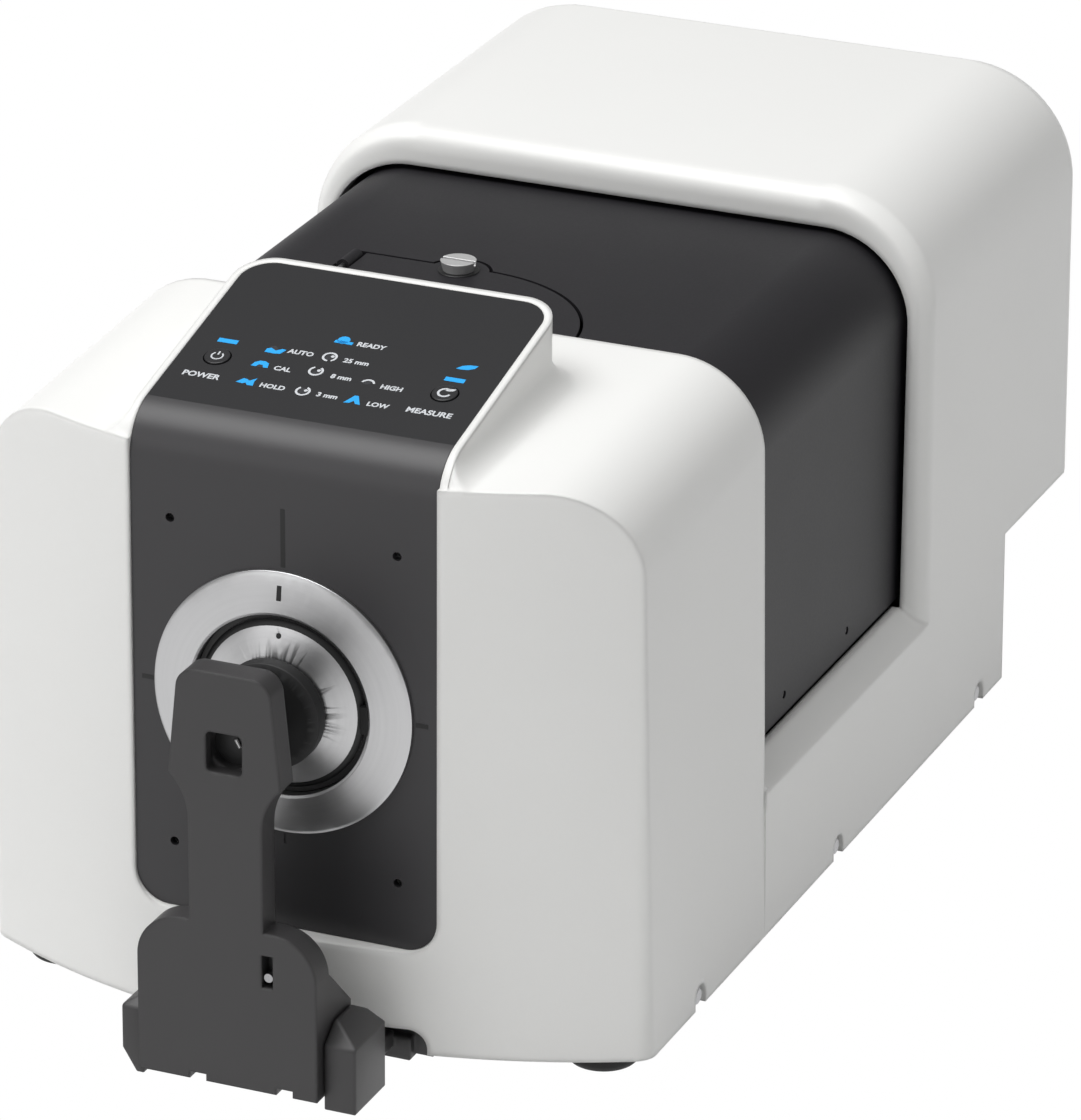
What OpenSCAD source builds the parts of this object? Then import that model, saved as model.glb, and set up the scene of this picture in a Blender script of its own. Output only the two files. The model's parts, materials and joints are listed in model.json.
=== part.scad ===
// Benchtop colorimeter: two white towers, a dark chamber hood between them, a console and a specimen arm.
// Y = 0 is the front datum plane of the housing while a module is drawn; placed() then centres the part in depth.

/* [Housing] */
// Width of the housing at its lower edge
housing_w = 248; // [244:1:252]
// Depth from the front datum plane to the back of the rear tower
housing_d = 441; // [436:1:446]
// Height of the rear tower above the desk
tower_h = 228; // [226:1:231]
// Height of the housing's lower edge above the desk
floor_gap = 8; // [7:0.5:9]
// Wall of the moulded covers
cover_wall = 3; // [2.5:0.25:3.5]
// Radius of the rear tower's upper side edges
tower_r = 43; // [40:1:45]
// Radius of the rear tower's front and back rims
rim_r = 8; // [6:0.5:9]
// Inward lean of the front tower's sides, per unit of height
side_draft = 0.019; // [0.01:0.001:0.022]

/* [Front tower] */
// Distance of the front tower's back face from the datum plane
front_tower_d = 120; // [118:1:122]
// How far the bowed front stands ahead of the datum plane
bow_reach = 17; // [15:1:19]
// Radius of the bowed front in plan
bow_r = 256; // [250:2:270]
// Radius of the vertical edges beside the bowed front
front_edge_r = 9; // [6:1:12]
// Height of the shoulder at the back of the front tower
shoulder_h = 221.5; // [219:0.5:223]
// Rise of the shoulder towards the back, in degrees
shoulder_slope = 3; // [2:0.5:4]
// Radius of the shoulder's side edges
shoulder_r = 32; // [28:1:34]

/* [Console] */
// Width of the console block
console_w = 118; // [114:1:122]
// Distance of the console block's back face from the datum plane
console_back = 90; // [86:1:94]
// Height of the console's back edge
console_h = 246; // [243:1:248]
// Slope of the console, in degrees
console_slope = 13.5; // [12:0.5:15]
// Plan radius of the console's back corners
console_corner_r = 14; // [10:1:18]
// Width of the white rim round the dark panels
rim_w = 3; // [2:0.5:4]
// How far the flat front panel stands ahead of the datum plane
panel_reach = 10; // [9:0.5:11]
// Radius where the front panel rolls over into the console
roll_r = 18; // [14:1:20]
// Height of the front panel's lower edge
panel_low = 45.5; // [42:0.5:48]
// Radius of the front panel's lower corners
panel_corner_r = 12; // [8:1:15]
// Thickness of the dark panels
panel_t = 3; // [2.5:0.25:3.5]
// Diameter of the two console buttons
button_d = 9; // [8:0.5:10]
// Travel of the two console buttons
button_travel = 1; // [0.8:0.1:1.2]

/* [Port] */
// Height of the port's axis
port_h = 129; // [126:1:132]
// Outer diameter of the silver mask ring
ring_d = 95; // [92:1:98]
// Inner diameter of the silver mask ring
ring_bore = 65; // [63:0.5:67]
// Outer diameter of the target mask
mask_d = 60.6; // [58:0.2:61]
// Diameter of the target mask's aperture
aperture_d = 25.4; // [20:0.2:28]
// How far the mask's nose stands ahead of the front panel
mask_reach = 7; // [6:0.5:8]
// Width between the front panel's accessory holes
hole_span_x = 83; // [80:1:88]
// Height between the front panel's accessory holes
hole_span_z = 119; // [116:1:122]
// Diameter of the front panel's accessory holes
hole_d = 3.2; // [3:0.1:3.6]

/* [Specimen arm] */
// Distance of the arm's front face ahead of the datum plane
arm_reach = 57; // [56:0.5:58]
// Thickness of the arm's plate
arm_t = 10; // [9:0.5:12]
// Width of the arm's head at its widest
arm_head_w = 41; // [39:1:43]
// Inward lean of the head's sides, per unit of height
arm_head_lean = 0.1; // [0.05:0.01:0.12]
// Width of the arm's neck
arm_neck_w = 27; // [25:1:29]
// Width of the arm's base
arm_base_w = 66; // [64:1:67]
// Height of the arm's shoulders above the desk
arm_shoulder_h = 66; // [62:1:70]
// Height of the arm's head above the port's axis
arm_head_rise = 28.5; // [27:0.5:30]
// Height of the arm's lower edge above the desk
arm_low = 7; // [6.8:0.1:9]
// Width of the window in the arm's head
window_w = 13.3; // [12:0.1:14]
// Height of the window in the arm's head
window_h = 14.6; // [13:0.1:15]
// Height of the arm's hinge axis
hinge_h = 24.5; // [24.5:0.1:25]
// Distance of the arm's hinge axis ahead of the datum plane
hinge_reach = 40.5; // [40:0.5:41]
// Diameter of the arm's hinge pin
hinge_pin_d = 5; // [4:0.5:6]
// Diameter of the specimen pad
pad_d = 38; // [34:1:42]
// Thickness of the specimen pad
pad_t = 8; // [6:0.5:9]
// Diameter of the pad's plunger
plunger_d = 15; // [13:0.5:16]
// Travel of the pad into the arm
pad_travel = 4; // [3:0.5:5]
// Distance across both ears of the arm's bracket
bracket_w = 90; // [88:1:94]

/* [Chamber] */
// Reveal between the hood and the covers
reveal = 2.2; // [1.8:0.1:2.6]
// Height of the opening in the rear tower that the hood enters
hood_mouth_h = 214; // [213:0.5:215]
// Distance of that opening's sides from the housing's sides
hood_inset = 9.5; // [8.5:0.5:10.5]
// Radius of that opening's upper corners
hood_mouth_r = 33; // [30:1:35]
// Open length between the two towers
hood_span = 156; // [154:1:158]
// Height of the side band below the hood, at its outer face
sill_h = 63; // [60:1:65]
// Wall of the hood
hood_wall = 2.5; // [2:0.25:3]
// Left edge of the access lid, across from the middle
lid_left = 60; // [58:1:62]
// Right edge of the access lid, across from the middle
lid_right = 41; // [39:1:43]
// Distance of the lid's front edge behind the front tower
lid_setback = 6; // [5:0.5:8]
// Depth of the access lid
lid_depth = 64; // [62:1:67]
// Radius of the lid's right back corner
lid_corner_r = 55; // [48:1:58]
// Gap round the lid
lid_gap = 1.2; // [1:0.1:1.4]
// Diameter of the lid's latch knob
knob_d = 13; // [12:0.5:14]
// Height of the latch knob above the lid
knob_h = 4; // [3:0.5:5]
// Place of the latch knob, left of the middle
knob_x = 23; // [21:1:26]
// Distance of the latch knob from the lid's back edge
knob_inset = 3; // [2:0.5:4]
// Radius of the lid's tab round the knob
tab_r = 11; // [10:0.5:12]
// Diameter of the lid's hinge barrel
barrel_d = 4.8; // [4.6:0.1:5]
// Diameter of the lid's hinge pin
lid_pin_d = 2; // [1.8:0.1:2.4]

/* [Rear] */
// Distance of the lower back from the datum plane
lower_back = 366; // [364:1:368]
// Height of the overhang's underside above the desk
overhang_h = 67; // [64:1:70]

/* [Inside] */
// Clearance ahead of and behind the integrating sphere
sphere_gap = 2; // [1.5:0.5:4]
// Wall of the integrating sphere
sphere_wall = 4; // [3:0.5:5]
// Thickness of the base plate
base_t = 4; // [3:0.5:5]
// Thickness of the chamber's walls
chamber_wall = 3; // [2.5:0.25:3.5]
// Diameter of the feet
foot_d = 26; // [22:1:30]
// Radial running clearance of shafts
run_fit = 0.05; // [0.02:0.01:0.08]
// Gap between seated curved pieces
seat_fit = 0.2; // [0.15:0.05:0.3]
// Gap between the base plate and the covers
plate_fit = 0.5; // [0.4:0.1:0.8]

/* [Hidden] */
$fn = 64;
eps = 0.01;
big = 600;
depth_mid = (housing_d - arm_reach) / 2;
bow_y = bow_r - bow_reach;
arch_low = -30;
corner_steps = 8;
bow_steps = 48;
white = [0.93, 0.93, 0.92];
dark = [0.25, 0.25, 0.26];
black = [0.08, 0.08, 0.09];
silver = [0.75, 0.76, 0.78];
base_top = floor_gap + base_t;
roll_y = roll_r - panel_reach;
roll_z = console_line(roll_y) - roll_r / cos(console_slope);
roll_end_y = roll_y - roll_r * sin(console_slope);
panel_w = console_w - 2 * rim_w;
fillet_r = 12;
fillet_sink = 1.5;
fillet_bite = 0.6;
cutout_h = 17;
cutout_w = bracket_w + 16;
cutout_r = 7;
rear_tower_y = front_tower_d + hood_span;
lid_front = front_tower_d + lid_setback;
lid_back = lid_front + lid_depth;
knob_y = lid_back - knob_inset;
hood_mouth_w = housing_w - 2 * hood_inset;
hood_top = hood_mouth_h - reveal;
hood_w = hood_mouth_w - 2 * reveal;
hood_r = hood_mouth_r - reveal;
hood_front = front_tower_d - 5;
hood_back = rear_tower_y + 12;
hood_low = sill_h + 10;
hinge_x = -(lid_left + barrel_d / 2 + 0.6);
hinge_z = hood_top - 0.5;
sphere_r = (hood_front - chamber_wall - 2 * sphere_gap) / 2;
sphere_y = sphere_gap + sphere_r;
mask_back = panel_reach - 6;
arm_back = arm_reach - arm_t;
pad_front = panel_reach + mask_reach + 0.3;
bore_end = 4.5;
ear_w = (bracket_w - arm_base_w) / 2 - 0.5;
screw_places = [front_tower_d / 2, front_tower_d + 72, lower_back - 26];

// Height of the console's slope at a given depth.
function console_line(y) = console_h - tan(console_slope) * (console_back - y);

// Centres the part in depth.
module placed() {
    translate([0, -depth_mid, 0]) children();
}

// Extrudes an outline in X and Z from depth a to depth b.
module along_y(a, b) {
    translate([0, b, 0]) rotate([90, 0, 0]) linear_extrude(b - a) children();
}

// Extrudes an outline in Y and Z from a to b across the part.
module along_x(a, b) {
    translate([a, 0, 0]) rotate([90, 0, 90]) linear_extrude(b - a) children();
}

// Turns an outline of radius and depth round the port's axis, depth counted towards the back.
module about_port(z = port_h) {
    translate([0, 0, z]) rotate([-90, 0, 0]) rotate_extrude($fn = 96) children();
}

// Cylinder along the port's axis from depth a to depth b.
module port_cyl(r, a, b, z = port_h, x = 0) {
    translate([x, a, z]) rotate([-90, 0, 0]) cylinder(r = r, h = b - a);
}

// Cylinder across the part.
module cross_cyl(r, a, b, y, z) {
    translate([a, y, z]) rotate([0, 90, 0]) cylinder(r = r, h = b - a);
}

// Arch outline with leaning sides and round upper corners.
module arch(w, low, top, r, lean) {
    n = sqrt(1 + lean * lean);
    cz = top - r;
    cx = w / 2 - lean * (cz - low) - r * n;
    polygon([[-w / 2, low], [w / 2, low], [cx + r / n, cz + r * lean / n], [cx, cz], [cx, top],
        [-cx, top], [-cx, cz], [-cx - r / n, cz + r * lean / n]]);
    for (s = [-1, 1]) translate([s * cx, cz]) circle(r = r);
}

// Rectangle with all corners round.
module round_rect(x0, y0, x1, y1, r) {
    translate([x0 + r, y0]) square([x1 - x0 - 2 * r, y1 - y0]);
    translate([x0, y0 + r]) square([x1 - x0, y1 - y0 - 2 * r]);
    for (x = [x0 + r, x1 - r]) for (y = [y0 + r, y1 - r]) translate([x, y]) circle(r = r);
}

// Plan of the front tower: bowed front, round front edges, flat back. The inset moves every face inwards.
module bowed_plan(inset) {
    r = front_edge_r - inset;
    half = housing_w / 2 - inset;
    big_r = bow_r - inset;
    cx = half - r;
    cy = bow_y - sqrt(pow(big_r - r, 2) - cx * cx);
    tip = atan2(cy - bow_y, cx);
    corner = [for (i = [0 : corner_steps]) [cx + r * cos(tip * i / corner_steps), cy + r * sin(tip * i / corner_steps)]];
    front = [for (i = [1 : bow_steps - 1]) let (a = tip - (180 + 2 * tip) * i / bow_steps)
        [big_r * cos(a), bow_y + big_r * sin(a)]];
    left = [for (i = [corner_steps : -1 : 0]) [-corner[i][0], corner[i][1]]];
    polygon(concat([[half, front_tower_d]], corner, front, left, [[-half, front_tower_d]]));
}

// Tilts what is drawn level so that it follows the shoulder.
module on_shoulder() {
    translate([0, front_tower_d, shoulder_h]) rotate([shoulder_slope, 0, 0])
        translate([0, -front_tower_d, -shoulder_h]) children();
}

// Front tower without its console. The inset moves every face inwards.
module front_tower(inset) {
    intersection() {
        on_shoulder() along_y(-80, front_tower_d + 30)
            arch(housing_w + 2 * side_draft * (floor_gap - arch_low) - 2 * inset, arch_low, shoulder_h - inset,
                shoulder_r - inset, side_draft);
        translate([0, 0, floor_gap]) linear_extrude(big) bowed_plan(inset);
    }
}

// Hollow corner profile beside an upright face on its left, sunk a little into both faces.
module valley_profile() {
    centre = fillet_r - fillet_bite;
    difference() {
        translate([-fillet_sink, -fillet_sink]) square(fillet_r + fillet_sink);
        translate([centre, centre]) circle(r = fillet_r);
    }
}

// Soft valley where the console rises from the shoulder, along its sides and round its back corners.
module console_valley() {
    half = console_w / 2;
    turn_r = console_corner_r - 0.7;
    corner_y = console_back - turn_r;
    intersection() {
        on_shoulder() {
            for (s = [0, 1]) mirror([s, 0, 0]) {
                along_y(-80, corner_y) translate([half, shoulder_h]) valley_profile();
                translate([half - turn_r, corner_y, shoulder_h]) rotate_extrude(angle = 90)
                    translate([turn_r, 0]) valley_profile();
            }
            along_x(-half + turn_r, half - turn_r) translate([console_back, shoulder_h])
                valley_profile();
        }
        translate([0, 0, floor_gap]) linear_extrude(big) bowed_plan(0.4);
        along_x(-console_w, console_w) console_side(0.4, 0, console_back + 2 * fillet_r);
    }
}

// Side outline of the console: flat front, roll and slope, moved inwards by the inset.
module console_side(inset, low, back) {
    r = roll_r - inset;
    top = console_line(back) - inset / cos(console_slope);
    polygon([[-panel_reach + inset, low], [back, low], [back, top],
        [roll_y - r * sin(console_slope), roll_z + r * cos(console_slope)], [roll_y, roll_z],
        [-panel_reach + inset, roll_z]]);
    translate([roll_y, roll_z]) circle(r = r);
}

// Plan of the console with round back corners.
module console_plan(half, back, r) {
    difference() {
        translate([-half, -30]) square([2 * half, back + 30]);
        for (s = [-1, 1]) translate([s * (half - r / 2 + 0.5), back - r / 2 + 0.5]) square(r + 1, center = true);
    }
    for (s = [-1, 1]) translate([s * (half - r), back - r]) circle(r = r);
}

// Console block, moved inwards by the inset.
module console_block(inset, low) {
    intersection() {
        along_x(-console_w / 2 + inset, console_w / 2 - inset) console_side(inset, low, console_back - inset);
        linear_extrude(big) console_plan(console_w / 2 - inset, console_back - inset, console_corner_r - inset);
    }
}

// Outline of the front panel's lower end.
module panel_front(grow) {
    half = panel_w / 2 + grow;
    low = panel_low - grow;
    r = panel_corner_r + grow;
    translate([-half, low + r]) square([2 * half, big]);
    translate([-half + r, low]) square([2 * (half - r), r + 1]);
    for (s = [-1, 1]) translate([s * (half - r), low + r]) circle(r = r);
}

// Space that the dark panels fill, from the outer face inwards.
module panel_space(depth, grow) {
    intersection() {
        difference() {
            along_x(-console_w, console_w) console_side(-12, -20, console_back - rim_w + grow);
            along_x(-console_w - 1, console_w + 1) console_side(depth, -40, console_back + 40);
        }
        along_y(-60, console_back) panel_front(grow);
        linear_extrude(big) console_plan(panel_w / 2 + grow, console_back - rim_w + grow, console_corner_r - rim_w + grow);
    }
}

// Dark panel skin between the outer face and its thickness.
module panel_skin() {
    intersection() {
        panel_space(panel_t, 0);
        along_x(-console_w, console_w) console_side(0, -20, console_back);
    }
}

// Side of the seam between the two dark panels that the console panel lies on.
module seam_side() {
    translate([-console_w, roll_end_y, roll_z + roll_r * cos(console_slope)]) rotate([console_slope, 0, 0])
        translate([0, seat_fit / 2, -60]) cube([2 * console_w, big, 120]);
}

// Place on the console's slope, x across and v along the slope from the seam.
module on_slope(x, v) {
    translate([x, roll_end_y, roll_z + roll_r * cos(console_slope)]) rotate([console_slope, 0, 0])
        translate([0, v, 0]) children();
}

power_x = -42.5;
measure_x = 41;
button_v = 27;
lamp_rows = [16, 26.5, 36.5, 47];
lamp_columns = [-26, -6, 13];

module front_cover() {
    color(white) placed() difference() {
        union() {
            front_tower(0);
            console_block(0, shoulder_h - 30);
            console_valley();
        }
        difference() {
            union() {
                front_tower(cover_wall);
                console_block(cover_wall, shoulder_h - 40);
            }
            along_x(-console_w / 2 - 4, console_w / 2 + 4) translate([-60, cutout_h + 6])
                square([60 - panel_reach + panel_t + cover_wall, big]);
            along_x(-panel_w / 2 - 2, panel_w / 2 + 2)
                difference() {
                    console_side(0, panel_low, console_back - rim_w);
                    console_side(panel_t + 2.5, -10, console_back + 20);
                }
        }
        translate([-big / 2, -60, 0]) cube([big, big, floor_gap]);
        translate([-housing_w / 2 + cover_wall + 3, front_tower_d - 20, floor_gap])
            cube([housing_w - 2 * cover_wall - 6, 40, 160]);
        panel_space(panel_t + seat_fit, seat_fit);
        port_cyl(ring_bore / 2 + 1.2, -40, 40);
        for (x = [-1, 1]) for (z = [-1, 1])
            port_cyl(hole_d / 2 + 1, -20, 0, port_h + z * hole_span_z / 2, x * hole_span_x / 2);
        along_y(-40, 20) arch(cutout_w, 0, cutout_h, cutout_r, 0);
        for (x = [power_x, measure_x]) on_slope(x, button_v) translate([0, 0, -14]) cylinder(d = button_d + 3, h = 20);
        for (x = [-1, 1]) scallop(x, screw_places[0]);
    }
}

// Half-round notch in the lower edge of a side.
module scallop(side, y) {
    translate([side * (housing_w / 2 + 2), y, floor_gap + 4]) rotate([0, 90, 0])
        cylinder(d = 9, h = 4 * 2, center = true);
    translate([side * (housing_w / 2 + 2) - 4, y - 4.5, floor_gap - 1]) cube([8, 9, 5]);
}

// One arch slice of the rear tower, drawn in by d on every side.
module tower_slice(y, d, t) {
    along_y(y, y + t) arch(housing_w - 2 * d, floor_gap, tower_h - d, tower_r - d, side_draft / 2);
}

// Rear tower's outer form with rounded front and back rims.
module rear_tower() {
    steps = [0, 30, 60, 90];
    for (i = [0 : 2]) hull() {
        tower_slice(rear_tower_y + rim_r * (1 - cos(steps[i])) , rim_r * (1 - sin(steps[i])), eps);
        tower_slice(rear_tower_y + rim_r * (1 - cos(steps[i + 1])), rim_r * (1 - sin(steps[i + 1])), eps);
    }
    tower_slice(rear_tower_y + rim_r, 0, housing_d - rear_tower_y - 2 * rim_r);
    for (i = [0 : 2]) hull() {
        tower_slice(housing_d - eps - rim_r * (1 - cos(steps[i])), rim_r * (1 - sin(steps[i])), eps);
        tower_slice(housing_d - eps - rim_r * (1 - cos(steps[i + 1])), rim_r * (1 - sin(steps[i + 1])), eps);
    }
}

// Cross-section of the side band below the hood, on the right.
module sill_outline() {
    edge = housing_w / 2 - side_draft / 2 * (sill_h - floor_gap);
    polygon([[housing_w / 2, floor_gap], [edge, sill_h], [hood_mouth_w / 2, sill_h + 8],
        [hood_mouth_w / 2 - cover_wall, sill_h + 8], [hood_mouth_w / 2 - cover_wall, sill_h + 3],
        [edge - cover_wall - 1, sill_h - cover_wall], [housing_w / 2 - cover_wall, floor_gap]]);
}

module rear_cover() {
    color(white) placed() difference() {
        union() {
            rear_tower();
            for (s = [0, 1]) mirror([s, 0, 0]) along_y(front_tower_d, rear_tower_y + rim_r) sill_outline();
        }
        along_y(rear_tower_y - 1, rear_tower_y + rim_r + 2) arch(hood_mouth_w, -20, hood_mouth_h, hood_mouth_r, 0);
        along_y(rear_tower_y + rim_r + 1, lower_back - cover_wall)
            arch(housing_w - 2 * cover_wall, -10, tower_h - cover_wall, tower_r - cover_wall, side_draft / 2);
        intersection() {
            along_y(rear_tower_y + rim_r + 1, housing_d - cover_wall)
                arch(housing_w - 2 * cover_wall, floor_gap, tower_h - cover_wall, tower_r - cover_wall, side_draft / 2);
            translate([-big / 2, 0, overhang_h + cover_wall]) cube(big);
        }
        translate([-big / 2, lower_back, -1]) cube([big, big, overhang_h + 1]);
        translate([-housing_w / 2 + cover_wall, rear_tower_y - 1, 0])
            cube([housing_w - 2 * cover_wall, rim_r + 3, sill_h - cover_wall - 2]);
        connector_cut(seat_fit);
        for (x = [-1, 1]) for (k = [1, 2]) scallop(x, screw_places[k]);
    }
}

connector_w = 120;
connector_h = 34;
connector_z = 22;

module connector_cut(grow) {
    translate([-connector_w / 2 - grow, lower_back - cover_wall - 1, connector_z - grow])
        cube([connector_w + 2 * grow, cover_wall + 2, connector_h + 2 * grow]);
}

module base_plate() {
    color(dark) placed() difference() {
        union() {
            translate([0, 0, floor_gap]) linear_extrude(base_t) difference() {
                bowed_plan(cover_wall + plate_fit);
                translate([-cutout_w / 2, -40]) square([cutout_w, 48]);
            }
            translate([-housing_w / 2 + cover_wall + plate_fit, front_tower_d - 1, floor_gap])
                cube([housing_w - 2 * cover_wall - 2 * plate_fit, lower_back - cover_wall - front_tower_d, base_t]);
        }
        for (x = [-1, 1]) for (y = [foot_front_y, foot_rear_y])
            translate([x * foot_x, y, -1]) cylinder(d = 4.2, h = 40);
    }
}

foot_x = housing_w / 2 - 22;
foot_front_y = 26;
foot_rear_y = lower_back - 30;

module foot(side, y) {
    color(black) placed() translate([side * foot_x, y, 0]) {
        cylinder(d1 = foot_d - 3, d2 = foot_d, h = 2);
        translate([0, 0, 2]) cylinder(d = foot_d, h = floor_gap - 2);
        translate([0, 0, floor_gap]) cylinder(d = 4.2 - 2 * run_fit, h = base_t);
    }
}

module front_panel() {
    color(dark) placed() difference() {
        panel_skin();
        seam_side();
        port_cyl(ring_bore / 2 + 0.7, -40, 20);
        for (x = [-1, 1]) for (z = [-1, 1])
            port_cyl(hole_d / 2, -20, 0, port_h + z * hole_span_z / 2, x * hole_span_x / 2);
        translate([-0.6, -panel_reach - 1, port_h + ring_d / 2 + 1]) cube([1.2, 1.5, 21]);
        for (s = [-1, 1]) translate([s * 50.5 - 2, -panel_reach - 1, port_h - 0.5]) cube([4, 1.4, 1]);
        translate([-0.5, -panel_reach - 1, port_h - ring_d / 2 - 5]) cube([1, 1.4, 4]);
    }
}

module console_panel() {
    color(black) placed() difference() {
        intersection() {
            panel_skin();
            seam_side();
        }
        for (x = [power_x, measure_x]) on_slope(x, button_v) translate([0, 0, -9]) cylinder(d = button_d + 0.8, h = 20);
        for (v = lamp_rows) for (x = lamp_xs(v)) on_slope(x, v) translate([0, 0, -1]) cylinder(d = 3.2, h = 5);
    }
}

// Columns that hold a lamp in a row: one in the top row, two in the next and three in the others.
function lamp_xs(v) = v == lamp_rows[3] ? [lamp_columns[1]] : v == lamp_rows[2] ? [lamp_columns[0], lamp_columns[1]]
    : lamp_columns;

module console_button(x) {
    color(black) placed() on_slope(x, button_v) {
        translate([0, 0, -panel_t - 3.5]) cylinder(d = button_d, h = panel_t + 4);
        translate([0, 0, -panel_t - 4.5]) cylinder(d = button_d + 2, h = 1);
    }
}

module power_button() {
    console_button(power_x);
}

module measure_button() {
    console_button(measure_x);
}

module status_lamps() {
    color([0.2, 0.7, 0.95]) placed()
        for (v = lamp_rows) for (x = lamp_xs(v)) on_slope(x, v) translate([0, 0, -1]) cylinder(d = 3.2, h = 1.1);
}

module mask_ring() {
    color(silver) placed() difference() {
        about_port() polygon([[ring_bore / 2, -panel_reach], [ring_d / 2, -panel_reach],
            [ring_d / 2, -panel_reach - 1.5], [ring_d / 2 - 1.5, -panel_reach - 2.5],
            [ring_bore / 2 + 1, -panel_reach - 4.5], [ring_bore / 2, -panel_reach - 4]]);
        translate([-0.8, -panel_reach - 6, port_h + 38]) cube([1.6, 2.6, 5]);
    }
}

module target_mask() {
    r = mask_d / 2;
    nose = -panel_reach - mask_reach;
    color(silver) placed() difference() {
        about_port() polygon([[aperture_d / 2, nose], [aperture_d / 2 + 3, nose], [r - 1, -panel_reach - 2.5],
            [r, -panel_reach - 1.5], [r, 0], [r - 3, 0], [r - 3, -panel_reach + 2.5], [aperture_d / 2 + 3, nose + 3],
            [aperture_d / 2, nose + 3]]);
        port_cyl(0.9, -panel_reach - 6, -panel_reach - 2.6, port_h + r - 5);
    }
}

module port_bush() {
    outer = ring_bore / 2 - seat_fit;
    inner = mask_d / 2 + run_fit;
    color(black) placed() difference() {
        about_port() polygon([[inner, -panel_reach - 0.5], [outer, -panel_reach - 0.5], [outer, 2],
            [outer + 6, 2], [outer + 6, 5], [inner - 5, 5], [inner - 5, 0.2], [inner, 0.2]]);
        translate([inner - 0.6, -panel_reach - 1, port_h - 5]) cube([4, 4, 10]);
    }
}

// Side outline of an ear of the arm's bracket.
module ear_outline() {
    front = -hinge_reach - 12.5;
    polygon([[-hinge_reach + 13, 2.5], [-hinge_reach + 13, hinge_h + 4], [-hinge_reach + 8, hinge_h + 8],
        [front, hinge_h - 5], [front, 4], [front + 1.5, 2.5]]);
}

ear_facet_tilt = 61;
ear_facet_turn = -53;

// Right ear of the arm's bracket with its slanting facet at the front.
module bracket_ear() {
    inner = bracket_w / 2 - ear_w;
    difference() {
        along_x(inner, bracket_w / 2) ear_outline();
        translate([inner + 1, -hinge_reach - 12.5, hinge_h - 8.5]) rotate([0, ear_facet_tilt, ear_facet_turn])
            translate([-60, -60, 0]) cube(120);
    }
}

module arm_bracket() {
    color(dark) placed() difference() {
        union() {
            for (s = [0, 1]) mirror([s, 0, 0]) {
                bracket_ear();
                translate([bracket_w / 2 - ear_w, -hinge_reach + 13 - eps, 2.5])
                    cube([ear_w, hinge_reach - 13 + 8, floor_gap - 2.5 + base_t - 1]);
            }
            translate([-bracket_w / 2, -8, 2.5]) cube([bracket_w, 16, floor_gap - 2.5 + base_t - 1]);
            along_y(-4, 2) arch(cutout_w - 2, 3.5, cutout_h - 1.5, cutout_r - 1, 0);
        }
        cross_cyl(hinge_pin_d / 2, -bracket_w, bracket_w, -hinge_reach, hinge_h);
    }
}

module arm_hinge_pin() {
    color(silver) placed() cross_cyl(hinge_pin_d / 2 - eps, -bracket_w / 2 + 4, bracket_w / 2 - 4, -hinge_reach, hinge_h);
}

// Front outline of the arm: leaning head, neck and rounded shoulders.
module arm_outline() {
    head_top = port_h + arm_head_rise;
    head_low = port_h - 10;
    fall = 16;
    step = (arm_head_w - arm_neck_w) / 2;
    hollow_r = (step * step + fall * fall) / (2 * step);
    arch(arm_head_w, head_low, head_top, 7, arm_head_lean);
    translate([-arm_neck_w / 2, arm_low]) square([arm_neck_w, head_top - arm_low - 12]);
    difference() {
        translate([-arm_head_w / 2, head_low - fall]) square([arm_head_w, fall + eps]);
        for (s = [-1, 1]) translate([s * (arm_neck_w / 2 + hollow_r), head_low - fall]) circle(r = hollow_r, $fn = 96);
    }
    r = 16;
    translate([-arm_base_w / 2, arm_low]) square([arm_base_w, arm_shoulder_h - arm_low - r]);
    translate([-arm_base_w / 2 + r, arm_low]) square([arm_base_w - 2 * r, arm_shoulder_h - arm_low]);
    for (s = [-1, 1]) translate([s * (arm_base_w / 2 - r), arm_shoulder_h - r]) circle(r = r);
}

slot_x = 15;
slot_z = 52;

module specimen_arm() {
    back = -hinge_reach + 11;
    collar_r = plunger_d / 2 + 3;
    color(dark) placed() difference() {
        union() {
            along_y(-arm_reach, -arm_back) arm_outline();
            port_cyl(collar_r, -arm_back - 1, -arm_back + 6);
            difference() {
                along_x(-arm_base_w / 2, arm_base_w / 2) polygon([[-arm_back - 1, hinge_h - 10], [back, hinge_h - 10],
                    [back, hinge_h + 9], [-arm_back - 1, hinge_h + 27]]);
                along_x(-20, 20) translate([-arm_back + 1, hinge_h - 12]) square([60, 60]);
            }
        }
        cross_cyl(hinge_pin_d / 2 + run_fit, -arm_base_w, arm_base_w, -hinge_reach, hinge_h);
        along_y(-arm_reach - 1, -arm_reach + bore_end + 1)
            round_rect(-window_w / 2, port_h - window_h / 2, window_w / 2, port_h + window_h / 2, 2);
        port_cyl(plunger_d / 2 + run_fit, -arm_reach + bore_end, -arm_back + 10);
        translate([slot_x - 2.1, -arm_reach - 1, slot_z - 6]) cube([4.2, 7, 12]);
        for (x = [-14, 18]) translate([x, -arm_reach - 1, 0]) cube([6, 20, arm_low + 2.5]);
    }
}

module arm_stop_pin() {
    color(silver) placed() port_cyl(1.6, -arm_reach + 1, -arm_reach + 6, slot_z - 2.5, slot_x);
}

module arm_spring() {
    wire = 1.4;
    color(silver) placed() for (i = [0 : 6])
        translate([-12 + i * 4, -hinge_reach, hinge_h]) rotate([0, 90, 0]) rotate_extrude($fn = 48)
            translate([hinge_pin_d / 2 + wire / 2 + 0.6, 0]) circle(d = wire, $fn = 16);
}

module pad_plunger() {
    color(black) placed() port_cyl(plunger_d / 2, -arm_reach + bore_end + pad_travel + 0.5, -pad_front - pad_t);
}

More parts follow.
